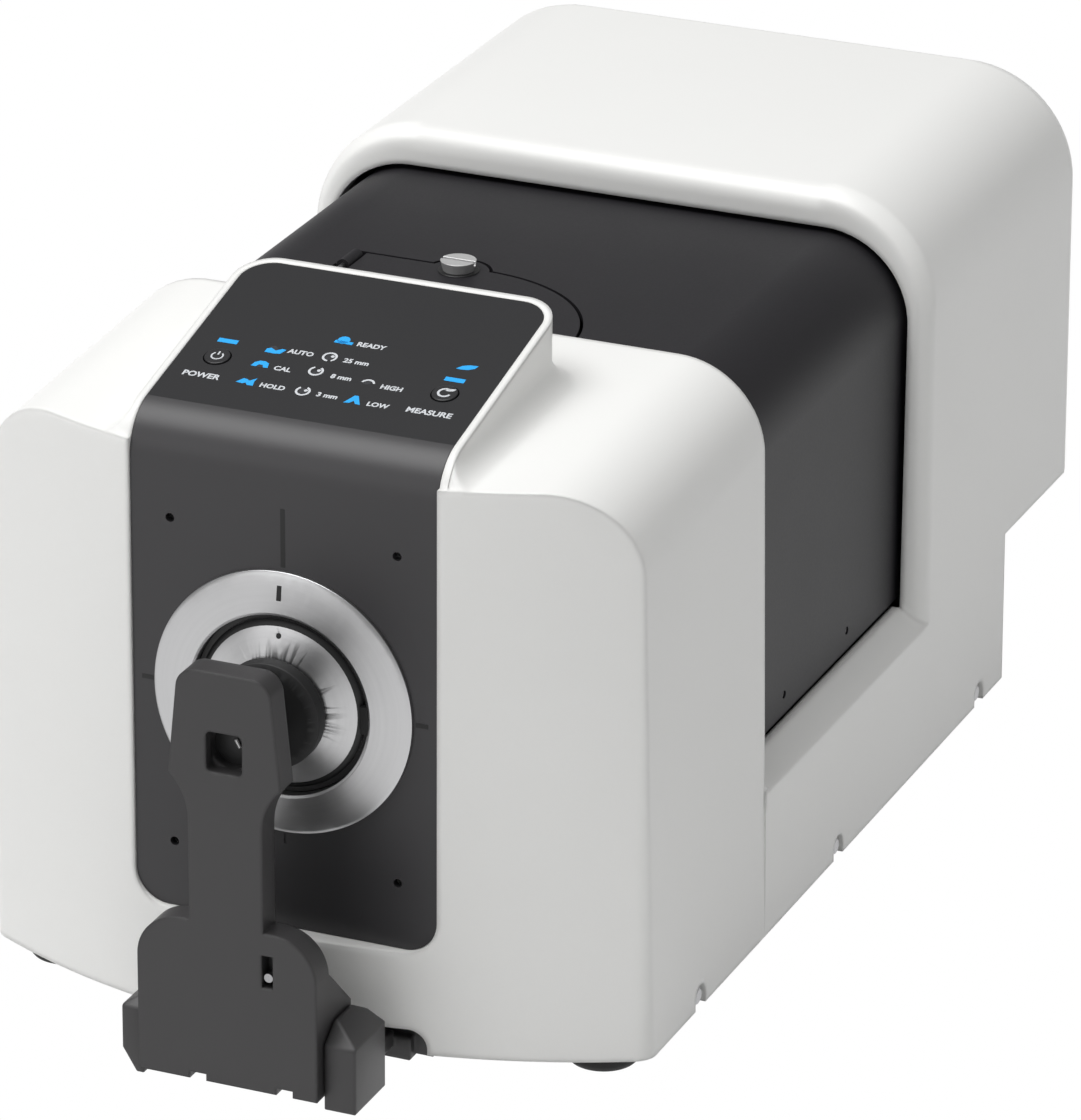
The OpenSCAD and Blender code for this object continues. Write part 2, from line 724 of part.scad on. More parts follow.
module specimen_pad() {
    color(black) placed() about_port() polygon([[0, -pad_front], [pad_d / 2 - 1, -pad_front],
        [pad_d / 2, -pad_front - 1], [pad_d / 2, -pad_front - pad_t + 2], [pad_d / 2 - 4, -pad_front - pad_t],
        [0, -pad_front - pad_t]]);
}

// Plan of the access lid, grown by g on every side.
module lid_plan(g) {
    r = lid_corner_r + g;
    turn_x = lid_right + g - r;
    turn_y = lid_back + g - r;
    difference() {
        translate([-lid_left - g, lid_front - g]) square([lid_left + lid_right + 2 * g, lid_depth + 2 * g]);
        difference() {
            translate([turn_x, turn_y]) square(r + 1);
            translate([turn_x, turn_y]) circle(r = r, $fn = 128);
        }
    }
    translate([-knob_x, knob_y]) circle(r = tab_r + g);
}

barrel_len = 12;
barrel_ys = [lid_front + 2, lid_front + 27, lid_back - 14];

// Hinge knuckle from depth a to b with its web towards the given side.
module knuckle(a, b, side) {
    translate([hinge_x, a, hinge_z]) rotate([-90, 0, 0]) cylinder(d = barrel_d, h = b - a);
    translate([side > 0 ? hinge_x : hinge_x - barrel_d / 2 - 1.2, a, hinge_z - 2])
        cube([barrel_d / 2 + 1.2, b - a, 2.4]);
}

module chamber_hood() {
    color(dark) placed() {
        difference() {
            along_y(hood_front, hood_back) difference() {
                arch(hood_w, hood_low, hood_top, hood_r, 0);
                arch(hood_w - 2 * hood_wall, hood_low - 1, hood_top - hood_wall, hood_r - hood_wall, 0);
            }
            translate([0, 0, hood_top - 20]) linear_extrude(40) {
                lid_plan(lid_gap);
                translate([hinge_x - barrel_d / 2 - 0.6, lid_front - 1.2]) square([barrel_d, lid_back - lid_front + 2.4]);
            }
            for (s = [-1, 1]) for (y = hood_screw_ys) cross_cyl(1.5, s * hood_w / 2 - 4, s * hood_w / 2 + 4, y, hood_screw_z);
        }
        for (y = [barrel_ys[0], barrel_ys[2]]) difference() {
            knuckle(y, y + barrel_len, -1);
            translate([hinge_x, 0, hinge_z]) rotate([-90, 0, 0]) cylinder(d = lid_pin_d, h = big);
        }
    }
}

hood_screw_ys = [front_tower_d + 45, front_tower_d + 107];
hood_screw_z = 80.5;

module access_lid() {
    color(dark) placed() difference() {
        union() {
            translate([0, 0, hood_top - hood_wall]) linear_extrude(hood_wall) lid_plan(0);
            knuckle(barrel_ys[1], barrel_ys[1] + barrel_len, 1);
        }
        translate([hinge_x, 0, hinge_z]) rotate([-90, 0, 0]) cylinder(d = lid_pin_d + 2 * run_fit, h = big);
        translate([-knob_x, knob_y, 0]) cylinder(d = 5 + 2 * run_fit, h = big);
    }
}

module lid_hinge_pin() {
    color(silver) placed() translate([hinge_x, barrel_ys[0] - 1, hinge_z]) rotate([-90, 0, 0])
        cylinder(d = lid_pin_d - eps, h = barrel_ys[2] + barrel_len + 2 - barrel_ys[0]);
}

module latch_knob() {
    color(silver) placed() translate([-knob_x, knob_y, hood_top + 0.1]) {
        difference() {
            cylinder(d = knob_d, h = knob_h);
            translate([-knob_d / 2, -0.8, knob_h - 1.5]) cube([knob_d, 1.6, 2]);
        }
        translate([0, 0, -hood_wall - 4]) cylinder(d = 5, h = hood_wall + 4.1);
    }
}

cam_reach = 16;

module latch_cam() {
    color(silver) placed() translate([-knob_x, knob_y, hood_top - hood_wall - 2.3]) difference() {
        union() {
            cylinder(d = 9, h = 2);
            translate([-cam_reach, -3.5, 0]) cube([cam_reach, 4, 2]);
        }
        translate([0, 0, -1]) cylinder(d = 5 + eps, h = 4);
    }
}

// Upright wall across the chamber with a round hole on the port's axis.
module chamber_plate(y, hole_r) {
    difference() {
        along_y(y, y + chamber_wall) arch(hood_w, base_top, hood_top, hood_r, 0);
        port_cyl(hole_r, y - 1, y + chamber_wall + 1);
    }
}

module chamber_front_wall() {
    color(dark) placed() chamber_plate(hood_front - chamber_wall, 18);
}

module chamber_rear_wall() {
    color(dark) placed() chamber_plate(hood_back, 16);
}

module window_ring(y, r) {
    about_port() polygon([[0, y], [r - seat_fit, y], [r - seat_fit, y + chamber_wall], [0, y + chamber_wall]]);
}

module front_window() {
    color([0.7, 0.8, 0.85, 0.4]) placed() window_ring(hood_front - chamber_wall, 18);
}

module rear_lens() {
    color([0.7, 0.8, 0.85, 0.4]) placed() window_ring(hood_back, 16);
}

tray_z = 56;

module chamber_tray() {
    half = hood_w / 2 - hood_wall - 4;
    color(dark) placed() difference() {
        translate([-half, hood_front + 1, tray_z]) cube([2 * half, hood_back - hood_front - 2, 12]);
        translate([-half + 3, hood_front + 4, tray_z + 3]) cube([2 * half - 6, hood_back - hood_front - 8, 12]);
    }
    color(dark) placed() for (x = [-1, 1]) for (y = [hood_front + 20, hood_back - 20])
        translate([x * (half - 12), y, base_top]) cylinder(d = 8, h = tray_z - base_top);
}

holder_y = 226;

module cell_holder() {
    color(silver) placed() difference() {
        translate([-30, holder_y - 6, tray_z + 3]) cube([60, 12, port_h + 22 - tray_z]);
        port_cyl(12, holder_y - 10, holder_y + 10);
        translate([-18, holder_y - 7, port_h - 20]) cube([36, 5, 60]);
    }
}

// Half of the integrating sphere on one side of its middle plane.
module half_sphere(side) {
    difference() {
        union() {
            translate([0, sphere_y, port_h]) sphere(r = sphere_r, $fn = 96);
            port_cyl(sphere_r + 4, sphere_y - 3, sphere_y + 3);
            if (side < 0) port_cyl(21, sphere_y - sphere_r - 1, sphere_y - sphere_r + 8);
        }
        translate([0, sphere_y, port_h]) sphere(r = sphere_r - sphere_wall, $fn = 96);
        translate([-big / 2, side < 0 ? sphere_y : sphere_y - big, -big / 2]) cube(big);
        port_cyl(side < 0 ? 16 : 14, side < 0 ? -20 : sphere_y, side < 0 ? sphere_y : big);
        if (side > 0) translate([0, sphere_y, port_h]) rotate([0, 90, 0]) translate([0, 20, 0]) cylinder(r = 9, h = big);
        if (side > 0) translate([0, sphere_y, port_h]) rotate([-25, 0, 0]) translate([0, 16, 0]) cylinder(r = 7, h = big);
    }
}

module sphere_front() {
    color(white) placed() half_sphere(-1);
}

module sphere_rear() {
    color(white) placed() half_sphere(1);
}

module sphere_stand() {
    low = port_h - sphere_r - 4;
    color(dark) placed() difference() {
        translate([-34, sphere_y - 14, base_top]) cube([68, 28, low - base_top + 16]);
        translate([0, sphere_y, port_h]) sphere(r = sphere_r + seat_fit, $fn = 96);
        port_cyl(sphere_r + 4 + seat_fit, sphere_y - 3 - seat_fit, sphere_y + 3 + seat_fit);
        translate([-24, sphere_y - 20, base_top + 4]) cube([48, 40, low - base_top - 14]);
    }
}

lamp_x = sphere_r + 2;

module flash_lamp() {
    color([0.9, 0.9, 0.95]) placed() cross_cyl(5, lamp_x + 2, lamp_x + 34, sphere_y + 20, port_h);
}

module lamp_reflector() {
    color(silver) placed() translate([lamp_x, sphere_y + 20, port_h]) difference() {
        translate([0, -13, -13]) cube([36, 26, 26]);
        translate([-1, 0, 0]) rotate([0, 90, 0]) cylinder(r = 10, h = 30);
        translate([-1, 0, 0]) rotate([0, 90, 0]) cylinder(r = 5 + seat_fit, h = 60);
    }
    color(silver) placed() translate([lamp_x + 4, sphere_y + 14, base_top]) cube([12, 12, port_h - 13 - base_top]);
}

module camera_module() {
    color(black) placed() translate([0, sphere_y, port_h]) rotate([-25, 0, 0]) translate([0, 16, sphere_r - 1]) {
        cylinder(r = 6, h = 10);
        translate([-10, -8, 10]) cube([20, 16, 6]);
    }
}

module receiver_tube() {
    color(dark) placed() difference() {
        union() {
            port_cyl(20, hood_back + chamber_wall, hood_back + chamber_wall + 38);
            translate([-12, hood_back + 12, base_top]) cube([24, 14, port_h - 14 - base_top]);
        }
        port_cyl(14, hood_back, hood_back + chamber_wall + 50);
    }
}

board_y = hood_back + chamber_wall + 6;
board_d = lower_back - cover_wall - 2 - board_y;
board_t = 1.6;
board_low = base_top + 8;
board_x = housing_w / 2 - 24;
spectrometer_y = hood_back + chamber_wall + 38;
spectrometer_low = 85;
spectrometer_w = 100;

module spectrometer() {
    leg = 10;
    color(dark) placed() translate([-spectrometer_w / 2, spectrometer_y, spectrometer_low]) cube([spectrometer_w, 70, 88]);
    color(dark) placed() for (s = [-1, 1]) translate([s * (spectrometer_w - leg) / 2 - leg / 2, spectrometer_y + 8, base_top])
        cube([leg, leg, spectrometer_low - base_top]);
}

// Upright circuit board with its foot; parts stand on the side towards the middle.
module upright_board(h) {
    translate([0, board_y, board_low]) cube([board_t, board_d, h]);
    translate([-4, board_y + 4, base_top]) cube([6, board_d - 14, board_low - base_top]);
}

module main_board() {
    color([0.1, 0.4, 0.2]) placed() translate([-board_x, 0, 0]) {
        upright_board(110);
        translate([board_t, board_y + 12, board_low + 20]) cube([4, 20, 20]);
        translate([board_t, board_y + 38, board_low + 60]) cube([3, 14, 14]);
    }
}

module power_board() {
    color([0.1, 0.4, 0.2]) placed() mirror([1, 0, 0]) translate([-board_x, 0, 0]) {
        upright_board(80);
        translate([board_t, board_y + 10, board_low + 12]) cube([20, 28, 24]);
        for (z = [46, 64]) translate([board_t, board_y + 20, board_low + z]) rotate([0, 90, 0]) cylinder(d = 14, h = 22);
    }
}

fan_w = 60;

module fan() {
    color(black) placed() translate([-(board_x - 6 - fan_w / 2), hood_back + chamber_wall + 3, base_top]) difference() {
        translate([-fan_w / 2, 0, 0]) cube([fan_w, 40, 10]);
        translate([0, 20, -1]) cylinder(r = 17, h = 9);
    }
}

socket_z = connector_z + connector_h / 2;

module connector_panel() {
    color(dark) placed() difference() {
        translate([-connector_w / 2, lower_back - cover_wall, connector_z])
            cube([connector_w, cover_wall, connector_h]);
        translate([-30 - 7, 0, socket_z - 6.5]) cube([14, big, 13]);
        port_cyl(6, 0, big, socket_z, 25);
    }
}

module usb_socket() {
    color(silver) placed() difference() {
        translate([-37 + seat_fit, lower_back - 16, socket_z - 6.5 + seat_fit])
            cube([14 - 2 * seat_fit, 16.5, 13 - 2 * seat_fit]);
        translate([-34.5, lower_back - 12, socket_z - 4.2]) cube([9, 20, 8.4]);
    }
}

module dc_inlet() {
    color(black) placed() difference() {
        port_cyl(6 - run_fit, lower_back - 14, lower_back + 1, socket_z, 25);
        port_cyl(3.5, lower_back - 9, lower_back + 5, socket_z, 25);
    }
}

module cover_screws() {
    color(silver) placed() for (s = [-1, 1]) for (y = screw_places)
        cross_cyl(3, s * (housing_w / 2 - 1.3) - 0.6, s * (housing_w / 2 - 1.3) + 0.6, y, floor_gap + 4);
}

module hood_screws() {
    color(silver) placed() for (s = [-1, 1]) for (y = hood_screw_ys)
        cross_cyl(1.5 - eps, s > 0 ? hood_w / 2 - 8 : -hood_w / 2 + 0.6, s > 0 ? hood_w / 2 - 0.6 : -hood_w / 2 + 8, y, hood_screw_z);
}

base_plate();
front_cover();
rear_cover();
front_panel();
console_panel();
power_button();
measure_button();
status_lamps();
mask_ring();
target_mask();
port_bush();
arm_bracket();
arm_hinge_pin();
specimen_arm();
arm_stop_pin();
arm_spring();
pad_plunger();
specimen_pad();
chamber_hood();
access_lid();
lid_hinge_pin();
latch_knob();
latch_cam();
chamber_front_wall();
chamber_rear_wall();
chamber_tray();
cell_holder();
front_window();
rear_lens();
sphere_front();
sphere_rear();
sphere_stand();
flash_lamp();
lamp_reflector();
camera_module();
receiver_tube();
spectrometer();
main_board();
power_board();
fan();
connector_panel();
usb_socket();
dc_inlet();
cover_screws();
hood_screws();
foot(-1, foot_front_y);  // foot_front_left
foot(1, foot_front_y);  // foot_front_right
foot(-1, foot_rear_y);  // foot_rear_left
foot(1, foot_rear_y);  // foot_rear_right
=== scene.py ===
"""Looks of the benchtop colorimeter: finishes, softened edges, prints, fasteners, floor, lights and camera."""
import json
import math

import bmesh
import bpy
from mathutils import Matrix, Vector


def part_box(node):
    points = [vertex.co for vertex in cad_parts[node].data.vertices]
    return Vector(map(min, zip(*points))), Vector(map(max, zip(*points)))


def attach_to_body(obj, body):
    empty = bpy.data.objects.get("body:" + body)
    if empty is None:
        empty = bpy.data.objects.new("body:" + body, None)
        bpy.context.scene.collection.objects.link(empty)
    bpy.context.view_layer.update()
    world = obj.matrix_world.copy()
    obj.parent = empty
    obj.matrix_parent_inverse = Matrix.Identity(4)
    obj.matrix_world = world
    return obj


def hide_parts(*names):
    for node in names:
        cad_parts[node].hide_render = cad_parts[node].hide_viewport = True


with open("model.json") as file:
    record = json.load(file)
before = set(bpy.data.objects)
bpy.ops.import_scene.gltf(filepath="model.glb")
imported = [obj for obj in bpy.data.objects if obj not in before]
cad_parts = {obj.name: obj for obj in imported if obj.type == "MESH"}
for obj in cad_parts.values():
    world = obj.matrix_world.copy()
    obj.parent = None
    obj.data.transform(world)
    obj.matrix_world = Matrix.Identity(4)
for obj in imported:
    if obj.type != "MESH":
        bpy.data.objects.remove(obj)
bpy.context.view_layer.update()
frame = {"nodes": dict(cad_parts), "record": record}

MM = 0.001
cad = frame["nodes"]
scene = bpy.context.scene

# Places on the part, in metres, as the source has them.
PORT_H = 0.129
SEAM = Vector((0, -0.188202, 0.225305))
SLOPE = math.radians(13.5)
SLOPE_UP = Vector((0, math.cos(SLOPE), math.sin(SLOPE)))
SLOPE_OUT = Vector((0, -math.sin(SLOPE), math.cos(SLOPE)))
FRONT_TOWER_BACK = -0.072
DATUM_Y = -0.192
PANEL_Y = -0.202
SILL_H = 0.063
CONSOLE_HALF = 0.059
KNOB_HEAD = 0.004
KEY_PROUD = 0.0005
KNOB_AXIS = (-0.023, -0.005)

# How the meshes are made.
SHARP_FROM = math.radians(32)
SPRING_WIRE = 0.0007
SCREW_CROWN = 0.35


# Shader language

class Field:
    """A socket in a material's tree that can be used in sums like a number."""

    def __init__(self, finish, socket):
        self.finish = finish
        self.socket = socket

    def maths(self, operation, *values):
        return self.finish.node("ShaderNodeMath", {"operation": operation}, dict(enumerate(values)))

    def __add__(self, other):
        return self.maths("ADD", self, other)

    def __mul__(self, other):
        return self.maths("MULTIPLY", self, other)

    def __sub__(self, other):
        return self.maths("SUBTRACT", self, other)

    def __rsub__(self, other):
        return self.maths("SUBTRACT", other, self)

    def __truediv__(self, other):
        return self.maths("DIVIDE", self, other)

    __radd__ = __add__
    __rmul__ = __mul__

    def sine(self):
        return self.maths("SINE", self)

    def absolute(self):
        return self.maths("ABSOLUTE", self)

    def clamped(self):
        return self.maths("MINIMUM", self.maths("MAXIMUM", self, 0.0), 1.0)

    def above(self, edge, softness):
        """0 below the edge and 1 above it, over the given softness."""
        return ((self - edge) / softness + 0.5).clamped()

    def part(self, name):
        return Field(self.finish, self.socket.node.outputs[name])


class Finish:
    """One procedural material. Its node() makes every node of the tree."""

    def __init__(self, name):
        self.material = bpy.data.materials.new(name)
        self.material.use_nodes = True
        self.tree = self.material.node_tree
        self.tree.nodes.clear()

    def node(self, kind, settings=None, values=None, out=0):
        made = self.tree.nodes.new(kind)
        for key, value in (settings or {}).items():
            setattr(made, key, value)
        for key, value in (values or {}).items():
            if isinstance(value, Field):
                self.tree.links.new(value.socket, made.inputs[key])
            else:
                made.inputs[key].default_value = value
        return Field(self, made.outputs[out])

    def place(self):
        """Object coordinates, which are the part's own metres."""
        return self.node("ShaderNodeTexCoord", out="Object")

    def depth_and_height(self):
        split = self.node("ShaderNodeSeparateXYZ", values={0: self.place()})
        return split.part("Y"), split.part("Z")

    def noise(self, size, detail=2.0, where=None, roughness=0.5):
        """Noise from 0 to 1 whose features are about size metres wide."""
        return self.node("ShaderNodeTexNoise", {"noise_dimensions": "3D"},
                         {"Vector": where or self.place(), "Scale": 1.0 / size, "Detail": detail,
                          "Roughness": roughness})

    def mix(self, factor, a, b):
        return self.node("ShaderNodeMix", {"data_type": "RGBA", "clamp_factor": True}, {0: factor, 6: a, 7: b}, out=2)

    def bump(self, height, distance, strength=1.0, under=None):
        values = {"Height": height, "Distance": distance, "Strength": strength}
        if under is not None:
            values["Normal"] = under
        return self.node("ShaderNodeBump", values=values)

    def rounded(self, radius, joined):
        """Normals that round the edges. On the two joined covers they stay plain at the joint below the hood."""
        if not joined:
            return self.node("ShaderNodeBevel", {"samples": 4}, {"Radius": radius})
        y, z = self.depth_and_height()
        near = (y - FRONT_TOWER_BACK).absolute()
        joint = (1.0 - near.above(radius * 1.3, 0.0002)) * (1.0 - z.above(SILL_H - 0.006, 0.002))
        bent = self.node("ShaderNodeBevel", {"samples": 6}, {"Radius": radius})
        plain = self.node("ShaderNodeNewGeometry", out="Normal")
        return self.node("ShaderNodeMix", {"data_type": "VECTOR"}, {0: joint, 4: bent, 5: plain}, out=1)

    def surface(self, colour, **values):
        """Principled surface; a keyword's underscores stand for spaces."""
        inputs = {"Base Color": colour}
        for key, value in values.items():
            inputs[key.replace("_", " ").title().replace("Ior", "IOR")] = value
        shader = self.node("ShaderNodeBsdfPrincipled", values=inputs)
        return self.finished(shader)

    def finished(self, shader):
        output = self.tree.nodes.new("ShaderNodeOutputMaterial")
        self.tree.links.new(shader.socket, output.inputs["Surface"])
        return self.material

    def vector(self, operation, *values, out=0):
        return self.node("ShaderNodeVectorMath", {"operation": operation}, dict(enumerate(values)), out)


def rgb(red, green, blue):
    """Scene colour of a screen colour from 0 to 255."""
    parts = [c / 255 / 12.92 if c <= 10 else ((c / 255 + 0.055) / 1.055) ** 2.4 for c in (red, green, blue)]
    return (*parts, 1.0)


def darker(colour, share):
    return tuple(c * share for c in colour[:3]) + (1.0,)


def grained(name, colour, shade, roughness, grain, depth, soft=0.0, joined=False, **more):
    """Moulded or sprayed surface with a slow change of tone, fine grain and uneven gloss. soft rounds its edges."""
    f = Finish(name)
    cloud = f.noise(0.09, 3.0)
    speck = f.noise(grain, 3.0, roughness=0.6)
    tone = f.mix(cloud * 0.7 + speck * 0.3, colour, shade)
    gloss = (cloud - 0.5) * 0.06 + (speck - 0.5) * 0.10 + roughness
    under = f.rounded(soft, joined) if soft else None
    return f.surface(tone, roughness=gloss, normal=f.bump(speck, depth, under=under), **more)


def turned(name, colour, roughness, lean, centre=(0, 0, PORT_H), plane=(1, 0, 1), metal=1.0):
    """Turned metal. Grooves too fine to see lean the surface to and from the part's axis, which spreads its shine."""
    f = Finish(name)
    arm = f.vector("MULTIPLY", f.vector("SUBTRACT", f.place(), centre), plane)
    radius = f.vector("LENGTH", arm, out="Value")
    outward = f.node("ShaderNodeVectorTransform",
                     {"vector_type": "VECTOR", "convert_from": "OBJECT", "convert_to": "WORLD"},
                     {0: f.vector("NORMALIZE", arm)})
    groove = f.node("ShaderNodeTexNoise", {"noise_dimensions": "1D"}, {"W": radius, "Scale": 90000.0, "Detail": 1.0})
    band = f.node("ShaderNodeTexNoise", {"noise_dimensions": "1D"}, {"W": radius, "Scale": 700.0, "Detail": 3.0})
    tone = f.mix(band, colour, darker(colour, 0.94))
    face = f.node("ShaderNodeNewGeometry", out="Normal")
    leaning = f.node("ShaderNodeVectorMath", {"operation": "SCALE"}, {0: outward, "Scale": (groove - 0.5) * lean})
    return f.surface(tone, metallic=metal, roughness=(band - 0.5) * 0.06 + roughness,
                     normal=f.vector("NORMALIZE", f.vector("ADD", face, leaning)))


def machined(name, colour, roughness, size=0.0006):
    f = Finish(name)
    scratch = f.noise(size, 4.0)
    stain = f.noise(0.012, 2.0)
    tone = f.mix(stain, colour, darker(colour, 0.85))
    return f.surface(tone, metallic=1.0, roughness=(scratch - 0.5) * 0.15 + roughness,
                     normal=f.bump(scratch, 0.00002))


def board_finish():
    f = Finish("circuit_board")
    y, z = f.depth_and_height()
    track = ((y * 700.0).sine() * (z * 450.0).sine()).above(0.35, 0.1)
    tone = f.mix(track, rgb(20, 78, 44), rgb(60, 120, 70))
    return f.surface(tone, roughness=f.noise(0.002) * 0.1 + 0.35)


def clear_finish():
    f = Finish("clear_window")
    smear = f.noise(0.01, 3.0)
    return f.surface(rgb(235, 242, 245), roughness=smear * 0.04 + 0.02, transmission_weight=1.0, ior=1.46)


def ink(name, colour, glow=0.0):
    f = Finish(name)
    edge = f.noise(0.0004, 2.0)
    tone = f.mix(edge, colour, darker(colour, 0.88))
    return f.surface(tone, roughness=edge * 0.1 + 0.4, emission_color=colour, emission_strength=glow)


FINISH = {
    "white_shell": grained("white_shell", rgb(238, 238, 236), rgb(233, 233, 231), 0.36, 0.0009, 0.000012, soft=0.0035,
                           joined=True),
    "dark_panel": grained("dark_panel", rgb(54, 53, 55), rgb(49, 48, 50), 0.42, 0.0005, 0.000012),
    "black_panel": grained("black_panel", rgb(34, 34, 36), rgb(30, 30, 32), 0.32, 0.0006, 0.000006),
    "hood_grey": grained("hood_grey", rgb(37, 36, 39), rgb(33, 32, 35), 0.48, 0.0007, 0.000014,
                         specular_ior_level=0.24),
    "dark_plastic": grained("dark_plastic", rgb(60, 59, 60), rgb(54, 53, 54), 0.44, 0.0006, 0.00002, soft=0.0018),
    "black_plastic": grained("black_plastic", rgb(30, 30, 31), rgb(25, 25, 26), 0.45, 0.0006, 0.000016),
    "silver": turned("turned_silver", rgb(200, 200, 201), 0.33, 0.6),
    "knob_silver": turned("knob_silver", rgb(214, 214, 214), 0.34, 0.5, (*KNOB_AXIS, 0), (1, 1, 0), 0.55),
    "steel": machined("steel", rgb(172, 172, 174), 0.30),
    "anodised": machined("anodised_metal", rgb(120, 122, 126), 0.38, 0.001),
    "window": clear_finish(),
    "sphere_white": grained("sphere_white", rgb(243, 243, 240), rgb(238, 238, 235), 0.8, 0.0006, 0.00001),
    "board": board_finish(),
    "lamp": ink("lamp_lens", rgb(58, 168, 222), 0.25),
    "pad_rubber": grained("pad_rubber", rgb(24, 24, 25), rgb(19, 19, 20), 0.6, 0.0005, 0.00003),
    "foot_rubber": grained("foot_rubber", rgb(33, 33, 33), rgb(26, 26, 26), 0.7, 0.0008, 0.00004),
}
PRINT_WHITE = ink("print_white", rgb(205, 208, 212))
PRINT_BLUE = ink("print_blue", rgb(22, 160, 232), 0.12)
# Near-black for prints and small dark parts, and for painted shade: the dark fill in the ring's tick cut and the
# panel's index grooves, and the ring round the knob's foot.
DARK_PRINT_AND_SHADE = ink("dark_print_and_shade", rgb(13, 13, 14))
LAMP_OFF = ink("unlit_lamp", rgb(40, 41, 45))


# Pieces

SUBPARTS = {s["node"]: s for s in frame["record"]["subparts"]}
BODY_OF = {n: b for b, ns in frame["record"]["behaviour"]["bodies"].items() for n in ns}


def slot_of(node):
    return SUBPARTS[node].get("material_slot") or SUBPARTS[node].get("slot")


def add(name, mesh, material):
    piece = bpy.data.objects.new(name, mesh)
    scene.collection.objects.link(piece)
    mesh.materials.clear()
    mesh.materials.append(material)
    return piece


def baked(piece):
    """Turns a piece and its live modifiers into one plain mesh."""
    deps = bpy.context.evaluated_depsgraph_get()
    mesh = bpy.data.meshes.new_from_object(piece.evaluated_get(deps))
    piece.modifiers.clear()
    old = piece.data
    piece.data = mesh
    bpy.data.meshes.remove(old)
    return piece


def attach(piece, body, slot, *stands_for):
    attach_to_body(piece, body)
    if stands_for:
        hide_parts(*stands_for)
    return piece


def merged(node):
    """A copy of the node's mesh whose loose triangles are joined."""
    bm = bmesh.new()
    bm.from_mesh(cad[node].data)
    bmesh.ops.remove_doubles(bm, verts=bm.verts, dist=0.000004)
    return bm


def islands(node):
    """Low and high corner of each separate solid of a node."""
    bm = merged(node)
    left = set(bm.verts)
    spans = []
    while left:
        group, queue = [], [left.pop()]
        while queue:
            vertex = queue.pop()
            group.append(vertex.co.copy())
            for edge in vertex.link_edges:
                other = edge.other_vert(vertex)
                if other in left:
                    left.remove(other)
                    queue.append(other)
        low = Vector(min(c[i] for c in group) for i in range(3))
        high = Vector(max(c[i] for c in group) for i in range(3))
        spans.append((low, high))
    bm.free()
    return spans


def softened(node, widest, width_at=None, turn=28, segments=3, flat=0.6, shape=None, finish=None):
    """The node's own form with its sharp edges rounded. width_at gives each edge's radius from its two ends."""
    bm = merged(node)
    if shape:
        for vertex in bm.verts:
            vertex.co = shape(vertex.co)
    bmesh.ops.dissolve_degenerate(bm, dist=0.000002, edges=bm.edges)
    bmesh.ops.dissolve_limit(bm, angle_limit=math.radians(flat), verts=bm.verts, edges=bm.edges)
    weight = bm.edges.layers.float.new("bevel_weight_edge")
    for e in bm.edges:
        if len(e.link_faces) == 2 and e.calc_face_angle(0.0) > math.radians(turn):
            size = width_at(e.verts[0].co, e.verts[1].co) if width_at else widest
            e[weight] = min(1.0, size / widest)
    mesh = bpy.data.meshes.new(node + "_soft")
    bm.to_mesh(mesh)
    bm.free()
    piece = add(node + "_soft", mesh, FINISH[finish or slot_of(node)])
    bevel = piece.modifiers.new("round_edges", "BEVEL")
    bevel.limit_method = "WEIGHT"
    bevel.width = widest
    bevel.segments = segments
    bevel.use_clamp_overlap = True
    bevel.miter_outer = "MITER_ARC"
    for polygon in mesh.polygons:
        polygon.use_smooth = True
    baked(piece)
    piece.data.set_sharp_from_angle(angle=SHARP_FROM)
    even = piece.modifiers.new("even_shading", "WEIGHTED_NORMAL")
    even.keep_sharp = True
    even.weight = 100
    baked(piece)
    return attach(piece, BODY_OF[node], slot_of(node), node)


def front_cover_edge(a, b):
    """Radius of an edge of the front cover: wide on the cheeks' outer rim, none at the joint under the hood."""
    m = (a + b) / 2
    at_joint = m.y > FRONT_TOWER_BACK - 0.0006
    if at_joint and m.z < SILL_H + 0.001:
        return 0.0
    outer = abs(m.x) > CONSOLE_HALF + 0.004
    if outer and m.z > 0.19 and not at_joint:
        return 0.004
    if outer and at_joint:
        return 0.0016
    if m.z > 0.21 and abs(m.x) > CONSOLE_HALF - 0.0015:
        return 0.0016
    if m.z > 0.228:
        return 0.0016
    return 0.0006


def rear_cover_edge(a, b):
    """Radius of an edge of the rear cover: soft round the hood's opening and on the overhang, none at the joint."""
    m = (a + b) / 2
    if m.y < FRONT_TOWER_BACK + 0.0006:
        return 0.0
    if m.y < 0.09 and m.z > SILL_H - 0.002:
        return 0.0024
    return 0.002 if m.z > 0.06 else 0.0008


def waisted_knob(co):
    """Draws the foot of the knob's head in, so that its top stands out as a finger rim."""
    low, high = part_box("latch_knob")
    axis = Vector(((low[0] + high[0]) / 2, (low[1] + high[1]) / 2, 0))
    foot = high[2] - KNOB_HEAD
    out = co - axis
    if abs(co.z - foot) < 0.0003 and Vector((out.x, out.y)).length > 0.004:
        return axis + Vector((out.x * 0.84, out.y * 0.84, co.z))
    return co


softened("front_cover", 0.004, front_cover_edge, segments=4)
softened("rear_cover", 0.0024, rear_cover_edge, turn=30, flat=0.05)
softened("specimen_arm", 0.0016)
softened("chamber_hood", 0.0005)
softened("access_lid", 0.0006)
softened("latch_knob", 0.0004, shape=waisted_knob, finish="knob_silver")
softened("front_panel", 0.0004)
softened("console_panel", 0.0003)
softened("power_button", 0.0004)
softened("measure_button", 0.0004)
softened("specimen_pad", 0.0005)
softened("mask_ring", 0.0004, flat=0.05)
softened("target_mask", 0.0003, flat=0.05)
softened("connector_panel", 0.0003)
for corner in ("front_left", "front_right", "rear_left", "rear_right"):
    softened("foot_" + corner, 0.0008)

for name, node_object in cad.items():
    node_object.data.materials.clear()
    node_object.data.materials.append(FINISH[slot_of(name)])


# Console prints

def slope_point(x, v, lift):
    """Point x millimetres across and v up the console's slope from its seam, lifted off the surface."""
    return SEAM + Vector((x * MM, 0, 0)) + SLOPE_UP * (v * MM) + SLOPE_OUT * lift


